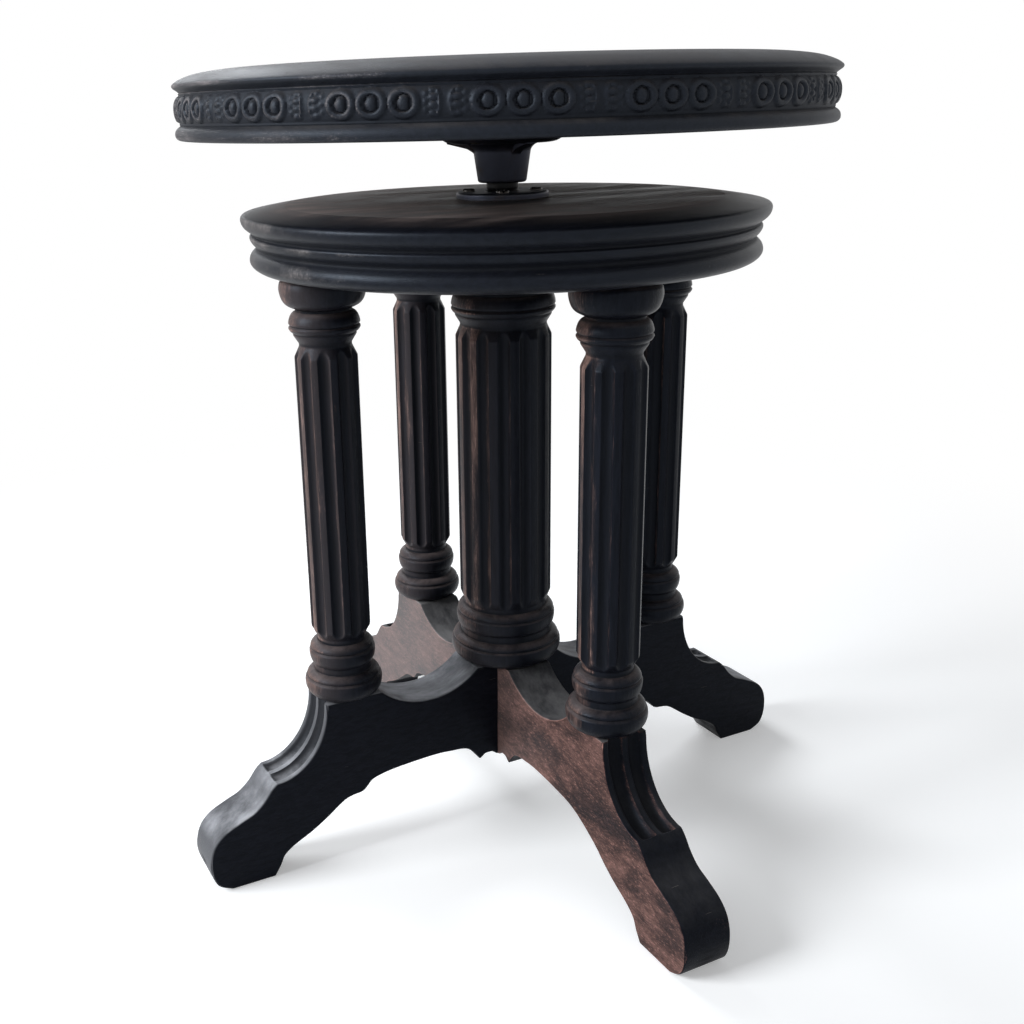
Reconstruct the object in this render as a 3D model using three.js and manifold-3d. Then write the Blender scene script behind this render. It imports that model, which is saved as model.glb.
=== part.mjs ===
// A revolving piano stool. A round seat stands on an iron spindle that screws up and down
// in a nut let into a round platform. A hollow fluted column in the middle takes the
// spindle, four slimmer fluted columns stand round it, and two scrolled boards that cross
// in a half lap make the four legs.
//
// Millimetres, +Z up. The origin is on the floor on the stool's axis, and the legs point
// along +X, -X, +Y and -Y.

import * as THREE from 'three';
import { mergeVertices } from 'three/addons/utils/BufferGeometryUtils.js';
import Module from 'manifold-3d';

const wasm = await Module();
wasm.setup();

// Fits that the whole stool shares
const glueLine = 0.1; // between faces that are glued or screwed together
const clearance = 0.3; // round whatever sits in a hole or a notch
const overrun = 3; // how far a cut runs past the face that it opens

// Legs: two boards on edge, each with a foot at both ends
const leg = {
  thickness: 30,
  padHeight: 105, // floor to the flat pads that the columns stand on
  reach: 96, // outer column's axis to the tip of the toe
  soleInner: 57, // outer column's axis to the near end of the sole
  soleOuter: 84,
  padMargin: 1.5, // how far a pad runs past the foot of its column
  scoopDepth: 13.4, // hollow between the middle pad and an outer pad
  riserRun: 34, // hollow front under an outer pad, along the floor
  riserFall: 43, // the same, downwards
  archHeight: 52, // floor to the top of the arch between the feet
  dropHeight: 40, // floor to the drop carved under the crossing
  dropRadius: 28,
  dropHollow: 3, // how far the drop is hollowed between its lips
  lipWidth: 4, // flat lip at the drop's outer end
  fluteRadius: 4.9, // gouge that cuts the two flutes down the riser
  fluteDepth: 3.4,
  fluteOffset: 6.5, // a flute's middle from the board's middle
};

// Instep and toe, from the riser's foot to the sole: shares of the way from the riser to
// the toe's tip, and of the riser foot's height
const toeShares = [
  [0.09, 0.94], [0.2, 0.84], [0.35, 0.75], [0.55, 0.69], [0.78, 0.61],
  [0.93, 0.5], [1, 0.34], [0.99, 0.2], [0.91, 0.07],
];
// Underside, from the drop to the sole: shares of the way from the drop to the sole, and
// of the arch's height
const archShares = [
  [0.06, 0.95], [0.15, 0.99], [0.24, 1], [0.4, 0.97], [0.53, 0.91],
  [0.67, 0.725], [0.75, 0.57], [0.82, 0.45], [0.9, 0.34], [0.95, 0.24], [0.97, 0.13],
];
// The same with the small carved step that three of the four legs have
const steppedArchShares = [
  [0.06, 0.95], [0.15, 0.99], [0.24, 1], [0.4, 0.975], [0.48, 0.945], [0.53, 0.905],
  [0.555, 0.84], [0.58, 0.785], [0.63, 0.765],
  [0.67, 0.725], [0.75, 0.57], [0.82, 0.45], [0.9, 0.34], [0.95, 0.24], [0.97, 0.13],
];

// Columns. Heights are listed from the foot up, and the shaft takes what they leave
const columnHeight = 248; // pads to platform
const columnPlaces = [ // in their order round the stool, with radians from +X to a ridge
  { name: 'back_right', turn: 0 },
  { name: 'back_left', turn: 0 },
  { name: 'front_left', turn: 0.157 },
  { name: 'front_right', turn: -0.142 },
];
const columnHeights = {
  baseTorus: 16.5,
  baseNeck: 4.5,
  baseBead: 14,
  lowerWaist: 3,
  lowerChamfer: 5.5,
  upperChamfer: 6,
  upperWaist: 1.5,
  collarFlare: 9.5,
  collarCurl: 8,
  upperNeck: 1.5,
  capTorus: 16.5,
};
const outerColumn = {
  foot: 16.5,
  baseTorus: 23.2,
  baseNeck: 17.2,
  baseBead: 19.7,
  lowerWaist: 14.3,
  shaft: 17.5,
  upperWaist: 14.6,
  collar: 19.9,
  upperNeck: 15.6,
  capTorus: 23.9,
  capTop: 21.5,
  flutes: 10,
  fluteRadius: 3.8,
  fluteDepth: 2.2,
  facets: 20,
};
const centreColumn = {
  foot: 27.5,
  baseTorus: 34.7,
  baseNeck: 28.6,
  baseBead: 31,
  lowerWaist: 26.1,
  shaft: 28.4,
  upperWaist: 25.6,
  collar: 30.8,
  upperNeck: 27.5,
  capTorus: 35.6,
  capTop: 33,
  flutes: 14,
  fluteRadius: 4,
  fluteDepth: 2.2,
  facets: 28,
  turn: -0.065, // radians from +X to the middle of a ridge
  boreSlack: 0.8, // bore's wall from the nut's sleeve
  boreSpare: 8, // depth left under the spindle at its lowest
};
const tenon = { radius: 8, length: 18, spare: 2, facets: 12 };

// Platform: a turned disc
const platform = {
  thickness: 34.8,
  radius: 149, // at the lip
  columnInset: 36, // lip to the axis of an outer column
  shoulder: 25, // width of the sloping border of its top
  slope: 2.4, // how far the border falls to the lip
  lipRound: 3.6, // lip's rounding above its widest line
  lipUnder: 2.8, // square edge below the widest line
  lipReturn: 5.5, // how far the lip stands out over the cove
  coveDrop: 4,
  beadInset: 5.2, // insets are measured from the lip
  beadDrop: 4.5,
  grooveInset: 8.5,
  grooveDrop: 4,
  torusInset: 3.8,
  footInset: 14,
  facets: 40,
};

// Seat: a top board on a thicker rim board with the carved edge
const seatTop = {
  thickness: 11,
  radius: 180, // at the lip
  shoulder: 19.5,
  slope: 6.4,
  lipUnder: 1.6,
  underInset: 4, // lip to the edge of its underside
  facets: 40,
};
const seatRim = { // its insets are measured from the lip of the top board
  thickness: 24,
  neckInset: 3.2,
  neckDrop: 3,
  bandInset: 1,
  bandDrop: 6,
  bandFlat: 1.6,
  bandFootInset: 3.4,
  bandFall: 5,
  grooveInset: 5.4,
  grooveWidth: 1.2,
  beadInset: 1.2,
  footInset: 3.5,
  facets: 40,
};

// Iron casting that is screwed under the seat
const casting = {
  height: 28.2,
  flangeRadius: 35.5,
  flangeEdge: 1.2, // square edge above the moulding
  flangeDepth: 6.8,
  flangeFlat: 26.5, // radius where the moulding meets the flange's flat underside
  filletRadius: 22.5,
  hubTop: 16, // hub's radius under the fillet
  hubFall: 12.2, // seat to the foot of the fillet
  hubRadius: 13.9, // at the hub's foot
  hubRound: 1.6,
  ribs: 3,
  ribTurn: 2.627, // radians from +X to the first rib
  ribThickness: 6,
  ribReach: 31,
  ribShoulder: 19.8,
  ribDepth: 9.7,
  facets: 20,
};

// Iron spindle, its nut and what is on its lower end
const spindle = {
  radius: 9,
  topSpare: 0.8, // left between its top and the seat
  spigotRadius: 5,
  restGap: 4.6, // between casting and nut as the stool stands
  liftUp: 110, // how far the seat can still be raised
  stopSlack: 0.5,
  facets: 20,
};
const nut = {
  plateRadius: 26.2,
  plateThickness: 3.9,
  plateRound: 1,
  sleeveRadius: 13.5,
  sleeveLength: 38,
  facets: 20,
};
const stopWasher = { radius: 12.5, thickness: 3, facets: 20 };
const hubPin = { radius: 2.5, turn: 1.2, height: 12, facets: 10 };

// Fasteners
const endScrew = { radius: 2.5, length: 12, headRadius: 7.5, headHeight: 3, facets: 8 };
const flangeScrew = {
  count: 3,
  circle: 27,
  radius: 2.4,
  length: 20,
  headRadius: 4.4,
  headHeight: 2.6,
  seatDepth: 3.6, // seat to the face that the head bears on
  facets: 8,
};
const nutScrew = {
  count: 4,
  turn: -0.515, // radians from +X to the first screw
  circle: 19,
  radius: 2.2,
  length: 18,
  headRadius: 3.6,
  headHeight: 2.6,
  proud: 1.2, // how far a head stands above the plate
  facets: 8,
};
const centreBolt = {
  radius: 4,
  grip: 40, // length inside the centre column
  headRadius: 8,
  headHeight: 5,
  headSides: 6,
  washerRadius: 12,
  washerThickness: 2,
  recess: 9, // depth of the hole that hides head and washer
  facets: 16,
};

// Sizes that follow from the ones above
const columnCircle = platform.radius - platform.columnInset;
const padStart = columnCircle - outerColumn.foot - leg.padMargin;
const padEnd = columnCircle + outerColumn.foot + leg.padMargin;
const toeTip = columnCircle + leg.reach;
const soleStart = columnCircle + leg.soleInner;
const soleEnd = columnCircle + leg.soleOuter;
const columnFoot = leg.padHeight + glueLine;
const platformBottom = columnFoot + columnHeight + glueLine;
const platformTop = platformBottom + platform.thickness;
const plateBottom = platformTop + glueLine;
const plateTop = plateBottom + nut.plateThickness;
const sleeveBottom = plateBottom - nut.sleeveLength;
const castingBottom = plateTop + spindle.restGap;
const seatBottom = castingBottom + casting.height + glueLine;
const seatJoint = seatBottom + seatRim.thickness + glueLine;
const spindleTop = seatBottom - spindle.topSpare;
const spindleShoulder = sleeveBottom - spindle.liftUp - spindle.stopSlack - clearance;
const spigotLength = stopWasher.thickness + clearance + clearance;
const spindleBottom = spindleShoulder - spigotLength;
const lapHeight = (leg.padHeight + leg.dropHeight) / 2;

// Materials
const ebonised = { color: 0x2b211c, roughness: 0.55, metalness: 0 };
const wornEbonised = { color: 0x3a2a22, roughness: 0.6, metalness: 0 };
const castIron = { color: 0x2e2e31, roughness: 0.5, metalness: 0.8 };
const brightIron = { color: 0x5b5853, roughness: 0.4, metalness: 0.9 };

// A closed geometry as a solid that can be joined and cut. Points that meet are merged,
// and the triangles that this leaves without an area are dropped.
function solid(geometry) {
  const bare = geometry.clone();
  bare.deleteAttribute('normal');
  bare.deleteAttribute('uv');
  const merged = mergeVertices(bare);
  const corners = [];
  const index = merged.index.array;
  for (let i = 0; i < index.length; i += 3) {
    const [a, b, c] = [index[i], index[i + 1], index[i + 2]];
    if (a !== b && b !== c && c !== a) corners.push(a, b, c);
  }
  return new wasm.Manifold(new wasm.Mesh({
    numProp: 3,
    vertProperties: new Float32Array(merged.attributes.position.array),
    triVerts: new Uint32Array(corners),
  }));
}

// A solid as a geometry again
function shapeOf(body) {
  const mesh = body.getMesh();
  const geometry = new THREE.BufferGeometry();
  geometry.setAttribute('position', new THREE.BufferAttribute(mesh.vertProperties, 3));
  geometry.setIndex(new THREE.BufferAttribute(mesh.triVerts, 1));
  geometry.computeVertexNormals();
  return geometry;
}

// An outline of [radius, height] pairs turned about +Z
function turned(outline, facets, turn = 0) {
  const points = outline.map(([radius, height]) => new THREE.Vector2(radius, height));
  return solid(new THREE.LatheGeometry(points, facets).rotateX(Math.PI / 2).rotateZ(turn));
}

// A plain upright rod or bore between two heights, its flats square to the axes
function rod(radius, bottom, top, facets, x = 0, y = 0) {
  const height = top - bottom;
  const cylinder = new THREE.CylinderGeometry(radius, radius, height, facets);
  return solid(cylinder.rotateX(Math.PI / 2).translate(x, y, bottom + height / 2));
}

// Continues an outline by a quarter of an ellipse that first runs sideways, then upwards
function sidewaysThenUp(outline, radius, height, steps = 2) {
  const [fromRadius, fromHeight] = outline[outline.length - 1];
  for (let i = 1; i <= steps; i++) {
    const turn = (i / steps) * Math.PI / 2;
    outline.push([
      fromRadius + (radius - fromRadius) * Math.sin(turn),
      fromHeight + (height - fromHeight) * (1 - Math.cos(turn)),
    ]);
  }
}

// The same, first upwards, then sideways
function upThenSideways(outline, radius, height, steps = 2) {
  const [fromRadius, fromHeight] = outline[outline.length - 1];
  for (let i = 1; i <= steps; i++) {
    const turn = (i / steps) * Math.PI / 2;
    outline.push([
      fromRadius + (radius - fromRadius) * (1 - Math.cos(turn)),
      fromHeight + (height - fromHeight) * Math.sin(turn),
    ]);
  }
}

// A round moulding on an outline, widest half way up
function torus(outline, widest, endRadius, height) {
  const bottom = outline[outline.length - 1][1];
  sidewaysThenUp(outline, widest, bottom + height / 2);
  upThenSideways(outline, endRadius, bottom + height);
}

// Places of a ring of copies round an axis
function ring(count, radius, turn = 0) {
  return Array.from({ length: count }, (_, i) => {
    const angle = turn + (i / count) * Math.PI * 2;
    return [radius * Math.cos(angle), radius * Math.sin(angle), angle];
  });
}

// Columns: a turned outline whose shaft is fluted. The flutes run out through the shaft's
// chamfers. The foot is at zero height and the tenons are added by the callers.
function columnOutline(size) {
  const h = columnHeights;
  const outline = [[0, 0], [size.foot, 0]];
  torus(outline, size.baseTorus, size.baseNeck, h.baseTorus);
  let height = h.baseTorus + h.baseNeck;
  outline.push([size.baseNeck, height]);
  torus(outline, size.baseBead, size.lowerWaist, h.baseBead);
  height += h.baseBead + h.lowerWaist;
  outline.push([size.lowerWaist, height]);
  height += h.lowerChamfer;
  outline.push([size.shaft, height]);
  const collarTop = columnHeight - h.capTorus - h.upperNeck;
  const collarWidest = collarTop - h.collarCurl;
  const waistTop = collarWidest - h.collarFlare;
  const shaftTop = waistTop - h.upperWaist - h.upperChamfer;
  outline.push([size.shaft, shaftTop]);
  outline.push([size.upperWaist, shaftTop + h.upperChamfer]);
  outline.push([size.upperWaist, waistTop]);
  upThenSideways(outline, size.collar, collarWidest, 1);
  upThenSideways(outline, size.upperNeck, collarTop, 2);
  outline.push([size.upperNeck, columnHeight - h.capTorus]);
  torus(outline, size.capTorus, size.capTop, h.capTorus);
  outline.push([0, columnHeight]);
  return outline;
}

function flutedColumn(size, turn) {
  const h = columnHeights;
  let column = turned(columnOutline(size), size.facets, turn);
  const bottom = h.baseTorus + h.baseNeck + h.baseBead + h.lowerWaist / 2;
  const collar = h.collarFlare + h.collarCurl + h.upperNeck;
  const top = columnHeight - h.capTorus - collar - h.upperWaist / 2;
  const circle = size.shaft + size.fluteRadius - size.fluteDepth;
  const halfStep = Math.PI / size.flutes;
  for (const [x, y] of ring(size.flutes, circle, turn + halfStep)) {
    column = column.subtract(rod(size.fluteRadius, bottom, top, 8, x, y));
  }
  return column;
}

function outerColumnBody(turn) {
  const foot = rod(tenon.radius, -tenon.length, overrun, tenon.facets);
  const head = rod(tenon.radius, columnHeight - overrun, columnHeight + tenon.length, tenon.facets);
  return flutedColumn(outerColumn, turn).add(foot).add(head);
}

function centreColumnBody() {
  const boreRadius = nut.sleeveRadius + centreColumn.boreSlack;
  const lowest = spindleBottom - endScrew.headHeight - spindle.restGap;
  const boreBottom = lowest - centreColumn.boreSpare - columnFoot;
  const bore = rod(boreRadius, boreBottom, columnHeight + overrun, nut.facets);
  const boltHole = rod(
    centreBolt.radius + clearance, -overrun, centreBolt.grip + tenon.spare, centreBolt.facets);
  return flutedColumn(centreColumn, centreColumn.turn).subtract(bore).subtract(boltHole);
}

// One half of a leg board's outline, from the stool's axis along the top, round the toe
// and back along the underside, as points from the axis outwards and from the floor up
function legOutline(archTable) {
  const hubPad = centreColumn.foot + leg.padMargin;
  const points = [new THREE.Vector2(0, leg.padHeight), new THREE.Vector2(hubPad, leg.padHeight)];

  // Scoop: an arc through both pads' corners and the hollow's lowest point
  const half = (padStart - hubPad) / 2;
  const arcRadius = (half * half + leg.scoopDepth * leg.scoopDepth) / (2 * leg.scoopDepth);
  const arcHeight = leg.padHeight - leg.scoopDepth + arcRadius;
  const spread = Math.asin(half / arcRadius);
  const scoopSteps = 6;
  for (let i = 1; i <= scoopSteps; i++) {
    const turn = spread * (2 * i / scoopSteps - 1);
    points.push(new THREE.Vector2(
      hubPad + half + arcRadius * Math.sin(turn), arcHeight - arcRadius * Math.cos(turn)));
  }
  points.push(new THREE.Vector2(padEnd, leg.padHeight));

  // Riser: a quarter of an ellipse, hollow to the front
  points.push(...riserPoints());

  // Instep and toe
  const riserEnd = padEnd + leg.riserRun;
  const riserFoot = leg.padHeight - leg.riserFall;
  const toe = [new THREE.Vector2(riserEnd, riserFoot)];
  for (const [outwards, upwards] of toeShares) {
    toe.push(new THREE.Vector2(riserEnd + outwards * (toeTip - riserEnd), upwards * riserFoot));
  }
  toe.push(new THREE.Vector2(soleEnd, 0));
  points.push(...new THREE.SplineCurve(toe).getPoints(14).slice(1));

  // Underside, from the sole back to the drop
  const under = [new THREE.Vector2(leg.dropRadius, leg.dropHeight)];
  for (const [outwards, upwards] of archTable) {
    const run = soleStart - leg.dropRadius;
    under.push(new THREE.Vector2(leg.dropRadius + outwards * run, upwards * leg.archHeight));
  }
  under.push(new THREE.Vector2(soleStart, 0));
  points.push(...new THREE.SplineCurve(under).getPoints(Math.round(1.5 * archTable.length)).reverse());

  // Drop under the crossing: a lip, a hollow and a flat middle
  points.push(new THREE.Vector2(leg.dropRadius - leg.lipWidth, leg.dropHeight + leg.dropHollow));
  points.push(new THREE.Vector2(leg.thickness / 2 + leg.lipWidth, leg.dropHeight + leg.dropHollow));
  points.push(new THREE.Vector2(leg.thickness / 2, leg.dropHeight));
  points.push(new THREE.Vector2(0, leg.dropHeight));
  return points;
}

function riserPoints(offset = 0) {
  const steps = 6;
  const points = [];
  for (let i = 1; i <= steps; i++) {
    const turn = (i / steps) * Math.PI / 2;
    points.push(new THREE.Vector2(
      padEnd + leg.riserRun - (leg.riserRun - offset) * Math.cos(turn),
      leg.padHeight - (leg.riserFall - offset) * Math.sin(turn)));
  }
  return points;
}

// Round gouge cuts down both sides of a riser's front, from above the pad to the instep
function riserFlutes(direction) {
  const offset = leg.fluteRadius - leg.fluteDepth;
  const start = new THREE.Vector2(padEnd + offset, leg.padHeight + overrun);
  const line = [start, ...riserPoints(offset)];
  const circle = new THREE.Shape().absarc(0, 0, leg.fluteRadius, 0, Math.PI * 2);
  const cuts = [-leg.fluteOffset, leg.fluteOffset].map((sideways) => {
    const path = new THREE.CatmullRomCurve3(
      line.map((point) => new THREE.Vector3(direction * point.x, sideways, point.y)));
    const options = { steps: 7, extrudePath: path, bevelEnabled: false, curveSegments: 5 };
    return solid(new THREE.ExtrudeGeometry(circle, options));
  });
  return cuts[0].add(cuts[1]);
}

// A leg board along X. The upper board is notched from below where the boards cross, and
// the lower one from above.
function legBoard(isUpper, frontTable, backTable) {
  const front = legOutline(frontTable);
  const back = legOutline(backTable).slice(1, -1).reverse();
  const outline = new THREE.Shape([
    ...front, ...back.map((point) => new THREE.Vector2(-point.x, point.y))]);
  const extruded = new THREE.ExtrudeGeometry(outline, { depth: leg.thickness, bevelEnabled: false });
  let board = solid(extruded.rotateX(Math.PI / 2).translate(0, leg.thickness / 2, 0));

  for (const direction of [-1, 1]) {
    const x = direction * columnCircle;
    const depth = leg.padHeight - tenon.length - tenon.spare;
    const mortise = rod(tenon.radius + clearance, depth, leg.padHeight + overrun, tenon.facets, x);
    board = board.subtract(riserFlutes(direction)).subtract(mortise);
  }

  const notchWidth = leg.thickness + clearance + clearance;
  const notchHeight = leg.padHeight;
  const notch = new THREE.BoxGeometry(notchWidth, leg.thickness + overrun, notchHeight);
  const middle = isUpper
    ? lapHeight - notchHeight / 2 + clearance / 2
    : lapHeight + notchHeight / 2 - clearance / 2;
  board = board.subtract(solid(notch.translate(0, 0, middle)));

  const boltHole = rod(
    centreBolt.radius + clearance, -overrun, leg.padHeight + overrun, centreBolt.facets);
  board = board.subtract(boltHole);
  if (!isUpper) {
    const recess = rod(centreBolt.washerRadius + clearance, -overrun,
      leg.dropHeight + centreBolt.recess, centreBolt.facets);
    board = board.subtract(recess);
  }
  return board;
}

// Platform, its underside at zero height
function platformBody() {
  const p = platform;
  const outline = [[0, 0], [p.radius - p.footInset, 0]];
  const lipBottom = p.thickness - p.slope - p.lipRound - p.lipUnder;
  const coveBottom = lipBottom - p.coveDrop;
  const beadBottom = coveBottom - p.beadDrop;
  const torusTop = beadBottom - p.grooveDrop;
  sidewaysThenUp(outline, p.radius - p.torusInset, torusTop / 2, 2);
  upThenSideways(outline, p.radius - p.grooveInset, torusTop, 2);
  outline.push([p.radius - p.grooveInset, beadBottom]);
  upThenSideways(outline, p.radius - p.beadInset, coveBottom - p.beadDrop / 2, 1);
  upThenSideways(outline, p.radius - p.lipReturn - p.lipUnder / 2, coveBottom, 1);
  upThenSideways(outline, p.radius - p.lipUnder / 4, lipBottom, 2);
  outline.push([p.radius, lipBottom + p.lipUnder]);
  upThenSideways(outline, p.radius - p.lipUnder / 2, p.thickness - p.slope, 1);
  outline.push([p.radius - p.shoulder, p.thickness]);
  outline.push([0, p.thickness]);

  let body = turned(outline, p.facets);
  const sleeveHole = rod(nut.sleeveRadius + clearance, -overrun, p.thickness + overrun, nut.facets);
  body = body.subtract(sleeveHole);
  for (const [x, y] of ring(columnPlaces.length, columnCircle)) {
    const depth = tenon.length + tenon.spare;
    body = body.subtract(rod(tenon.radius + clearance, -overrun, depth, tenon.facets, x, y));
  }
  const pilotBottom = p.thickness - nutScrew.length;
  for (const [x, y] of ring(nutScrew.count, nutScrew.circle, nutScrew.turn)) {
    body = body.subtract(
      rod(nutScrew.radius + clearance, pilotBottom, p.thickness + overrun, nutScrew.facets, x, y));
  }
  return body;
}

// Nut: a plate with a threaded sleeve under it, the plate's underside at zero height
function nutBody() {
  const n = nut;
  const bore = spindle.radius + clearance;
  const outline = [
    [bore, -n.sleeveLength], [n.sleeveRadius, -n.sleeveLength], [n.sleeveRadius, 0],
    [n.plateRadius, 0], [n.plateRadius, n.plateThickness - n.plateRound],
    [n.plateRadius - n.plateRound, n.plateThickness], [bore, n.plateThickness],
    [bore, -n.sleeveLength]];
  let body = turned(outline, n.facets);
  const headSeat = n.plateThickness - nutScrew.headHeight + nutScrew.proud;
  for (const [x, y] of ring(nutScrew.count, nutScrew.circle, nutScrew.turn)) {
    const shank = rod(nutScrew.radius + clearance, -overrun, n.plateThickness, nutScrew.facets, x, y);
    const head = rod(
      nutScrew.headRadius + clearance, headSeat, n.plateThickness + overrun, nutScrew.facets, x, y);
    body = body.subtract(shank).subtract(head);
  }
  return body;
}

// Wood screw with a rounded head, standing head up, the head's underside at zero height
function screwBody(size, shankLength) {
  const tip = size.radius / 2;
  const outline = [[0, -shankLength], [tip, -shankLength + tip], [size.radius, -shankLength / 2],
    [size.radius, 0], [size.headRadius, 0]];
  upThenSideways(outline, 0, size.headHeight, 2);
  return turned(outline, size.facets);
}

// Casting under the seat, the foot of its hub at zero height
function castingBody() {
  const c = casting;
  const bore = spindle.radius + clearance;
  const outline = [[bore, 0], [c.hubRadius - c.hubRound, 0]];
  sidewaysThenUp(outline, c.hubRadius, c.hubRound, 2);
  outline.push([c.hubTop, c.height - c.hubFall]);
  upThenSideways(outline, c.filletRadius, c.height - c.flangeDepth, 2);
  outline.push([c.flangeFlat, c.height - c.flangeDepth]);
  sidewaysThenUp(outline, c.flangeRadius, c.height - c.flangeEdge, 2);
  outline.push([c.flangeRadius, c.height], [bore, c.height], [bore, 0]);
  let body = turned(outline, c.facets);

  const wall = (bore + c.hubRadius) / 2;
  const ribOutline = new THREE.Shape([
    new THREE.Vector2(wall, c.height - c.hubFall),
    new THREE.Vector2(c.hubTop, c.height - c.hubFall),
    new THREE.Vector2(c.ribShoulder, c.height - c.ribDepth),
    new THREE.Vector2(c.ribReach, c.height - c.flangeDepth),
    new THREE.Vector2(c.ribReach, c.height - c.flangeEdge),
    new THREE.Vector2(wall, c.height - c.flangeEdge)]);
  for (const [, , angle] of ring(c.ribs, 1, c.ribTurn)) {
    const rib = new THREE.ExtrudeGeometry(ribOutline, { depth: c.ribThickness, bevelEnabled: false });
    rib.rotateX(Math.PI / 2).translate(0, c.ribThickness / 2, 0).rotateZ(angle);
    body = body.add(solid(rib));
  }

  const headSeat = c.height - flangeScrew.seatDepth;
  for (const [x, y] of flangeScrewPlaces()) {
    const shank = rod(
      flangeScrew.radius + clearance, -overrun, c.height + overrun, flangeScrew.facets, x, y);
    const head = rod(flangeScrew.headRadius + clearance, -overrun, headSeat, flangeScrew.facets, x, y);
    body = body.subtract(shank).subtract(head);
  }
  return body.subtract(hubPinRod(clearance));
}

function flangeScrewPlaces() {
  const betweenRibs = casting.ribTurn + Math.PI / casting.ribs;
  return ring(flangeScrew.count, flangeScrew.circle, betweenRibs);
}

// Pin through hub and spindle, lying level, measured from the hub's foot
function hubPinRod(extra = 0) {
  const length = 2 * (casting.hubRadius + extra * 2);
  const cylinder = new THREE.CylinderGeometry(
    hubPin.radius + extra, hubPin.radius + extra, length, hubPin.facets);
  return solid(cylinder.rotateZ(Math.PI / 2).rotateZ(hubPin.turn).translate(0, 0, hubPin.height));
}

// Spindle, measured from the hub's foot
function spindleBody() {
  const s = spindle;
  const shoulder = spindleShoulder - castingBottom;
  const bottom = spindleBottom - castingBottom;
  const top = spindleTop - castingBottom;
  const outline = [
    [0, bottom], [s.spigotRadius, bottom], [s.spigotRadius, shoulder],
    [s.radius, shoulder], [s.radius, top], [0, top]];
  const screwHole = rod(
    endScrew.radius + clearance, bottom - overrun, bottom + endScrew.length + clearance,
    endScrew.facets);
  return turned(outline, s.facets).subtract(screwHole).subtract(hubPinRod(clearance));
}

function stopWasherBody() {
  const hole = spindle.spigotRadius + clearance;
  const outline = [[hole, 0], [stopWasher.radius, 0], [stopWasher.radius, stopWasher.thickness],
    [hole, stopWasher.thickness], [hole, 0]];
  return turned(outline, stopWasher.facets);
}

// Seat boards, each with its underside at zero height
function seatTopBody() {
  const s = seatTop;
  const lipBottom = s.thickness - s.slope - s.lipUnder;
  const outline = [[0, 0], [s.radius - s.underInset, 0]];
  sidewaysThenUp(outline, s.radius - s.lipUnder / 2, lipBottom, 2);
  outline.push([s.radius, s.thickness - s.slope]);
  upThenSideways(outline, s.radius - s.lipUnder, s.thickness - s.slope + s.lipUnder, 1);
  outline.push([s.radius - s.shoulder, s.thickness], [0, s.thickness]);
  return turned(outline, s.facets);
}

function seatRimBody() {
  const s = seatRim;
  const lip = seatTop.radius;
  const bandTop = s.thickness - s.neckDrop;
  const bandBottom = bandTop - s.bandDrop - s.bandFlat;
  const bandFoot = bandBottom - s.bandFall;
  const outline = [[0, 0], [lip - s.footInset, 0]];
  const beadTop = bandFoot - s.grooveWidth;
  sidewaysThenUp(outline, lip - s.beadInset, beadTop / 2, 2);
  upThenSideways(outline, lip - s.grooveInset, beadTop, 2);
  outline.push([lip - s.grooveInset, bandFoot], [lip - s.bandFootInset, bandFoot]);
  sidewaysThenUp(outline, lip - s.bandInset, bandBottom, 2);
  outline.push([lip - s.bandInset, bandBottom + s.bandFlat]);
  upThenSideways(outline, lip - s.neckInset, bandTop, 2);
  sidewaysThenUp(outline, lip - seatTop.underInset, s.thickness, 1);
  outline.push([0, s.thickness]);
  let body = turned(outline, s.facets);
  const pilotTop = flangeScrew.length - flangeScrew.seatDepth + clearance;
  for (const [x, y] of flangeScrewPlaces()) {
    body = body.subtract(
      rod(flangeScrew.radius + clearance, -overrun, pilotTop, flangeScrew.facets, x, y));
  }
  return body;
}

// Bolt that draws the crossed boards up to the centre column, its washer at zero height
function centreBoltBody() {
  const shankBottom = leg.dropHeight + centreBolt.recess - centreBolt.washerThickness;
  const length = columnFoot + centreBolt.grip - shankBottom;
  const head = rod(centreBolt.headRadius, -centreBolt.headHeight, 0, centreBolt.headSides);
  return head.add(rod(centreBolt.radius, -centreBolt.headHeight / 2, length, centreBolt.facets));
}

function boltWasherBody() {
  const hole = centreBolt.radius + clearance;
  const outline = [[hole, 0], [centreBolt.washerRadius, 0],
    [centreBolt.washerRadius, centreBolt.washerThickness],
    [hole, centreBolt.washerThickness], [hole, 0]];
  return turned(outline, centreBolt.facets);
}

// The stool
const stool = new THREE.Group();
const base = new THREE.Group();
const seat = new THREE.Group();
stool.add(base, seat);

function addMesh(group, name, body, finish, height = 0, x = 0, y = 0) {
  const mesh = new THREE.Mesh(shapeOf(body), new THREE.MeshStandardMaterial(finish));
  mesh.name = name;
  mesh.position.set(x, y, height);
  group.add(mesh);
  return mesh;
}

// Legs and their bolt
addMesh(base, 'leg_board_upper', legBoard(true, steppedArchShares, steppedArchShares), ebonised);
addMesh(base, 'leg_board_lower', legBoard(false, steppedArchShares, archShares), ebonised)
  .rotation.z = Math.PI / 2;
const washerHeight = leg.dropHeight + centreBolt.recess - clearance - centreBolt.washerThickness;
addMesh(base, 'centre_bolt_washer', boltWasherBody(), castIron, washerHeight);
addMesh(base, 'centre_bolt', centreBoltBody(), castIron, washerHeight - clearance);

// Columns and platform
addMesh(base, 'centre_column', centreColumnBody(), wornEbonised, columnFoot);
ring(columnPlaces.length, columnCircle).forEach(([x, y], i) => {
  const { name, turn } = columnPlaces[i];
  addMesh(base, `outer_column_${name}`, outerColumnBody(turn), wornEbonised, columnFoot, x, y);
});
addMesh(base, 'platform', platformBody(), ebonised, platformBottom);

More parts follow.
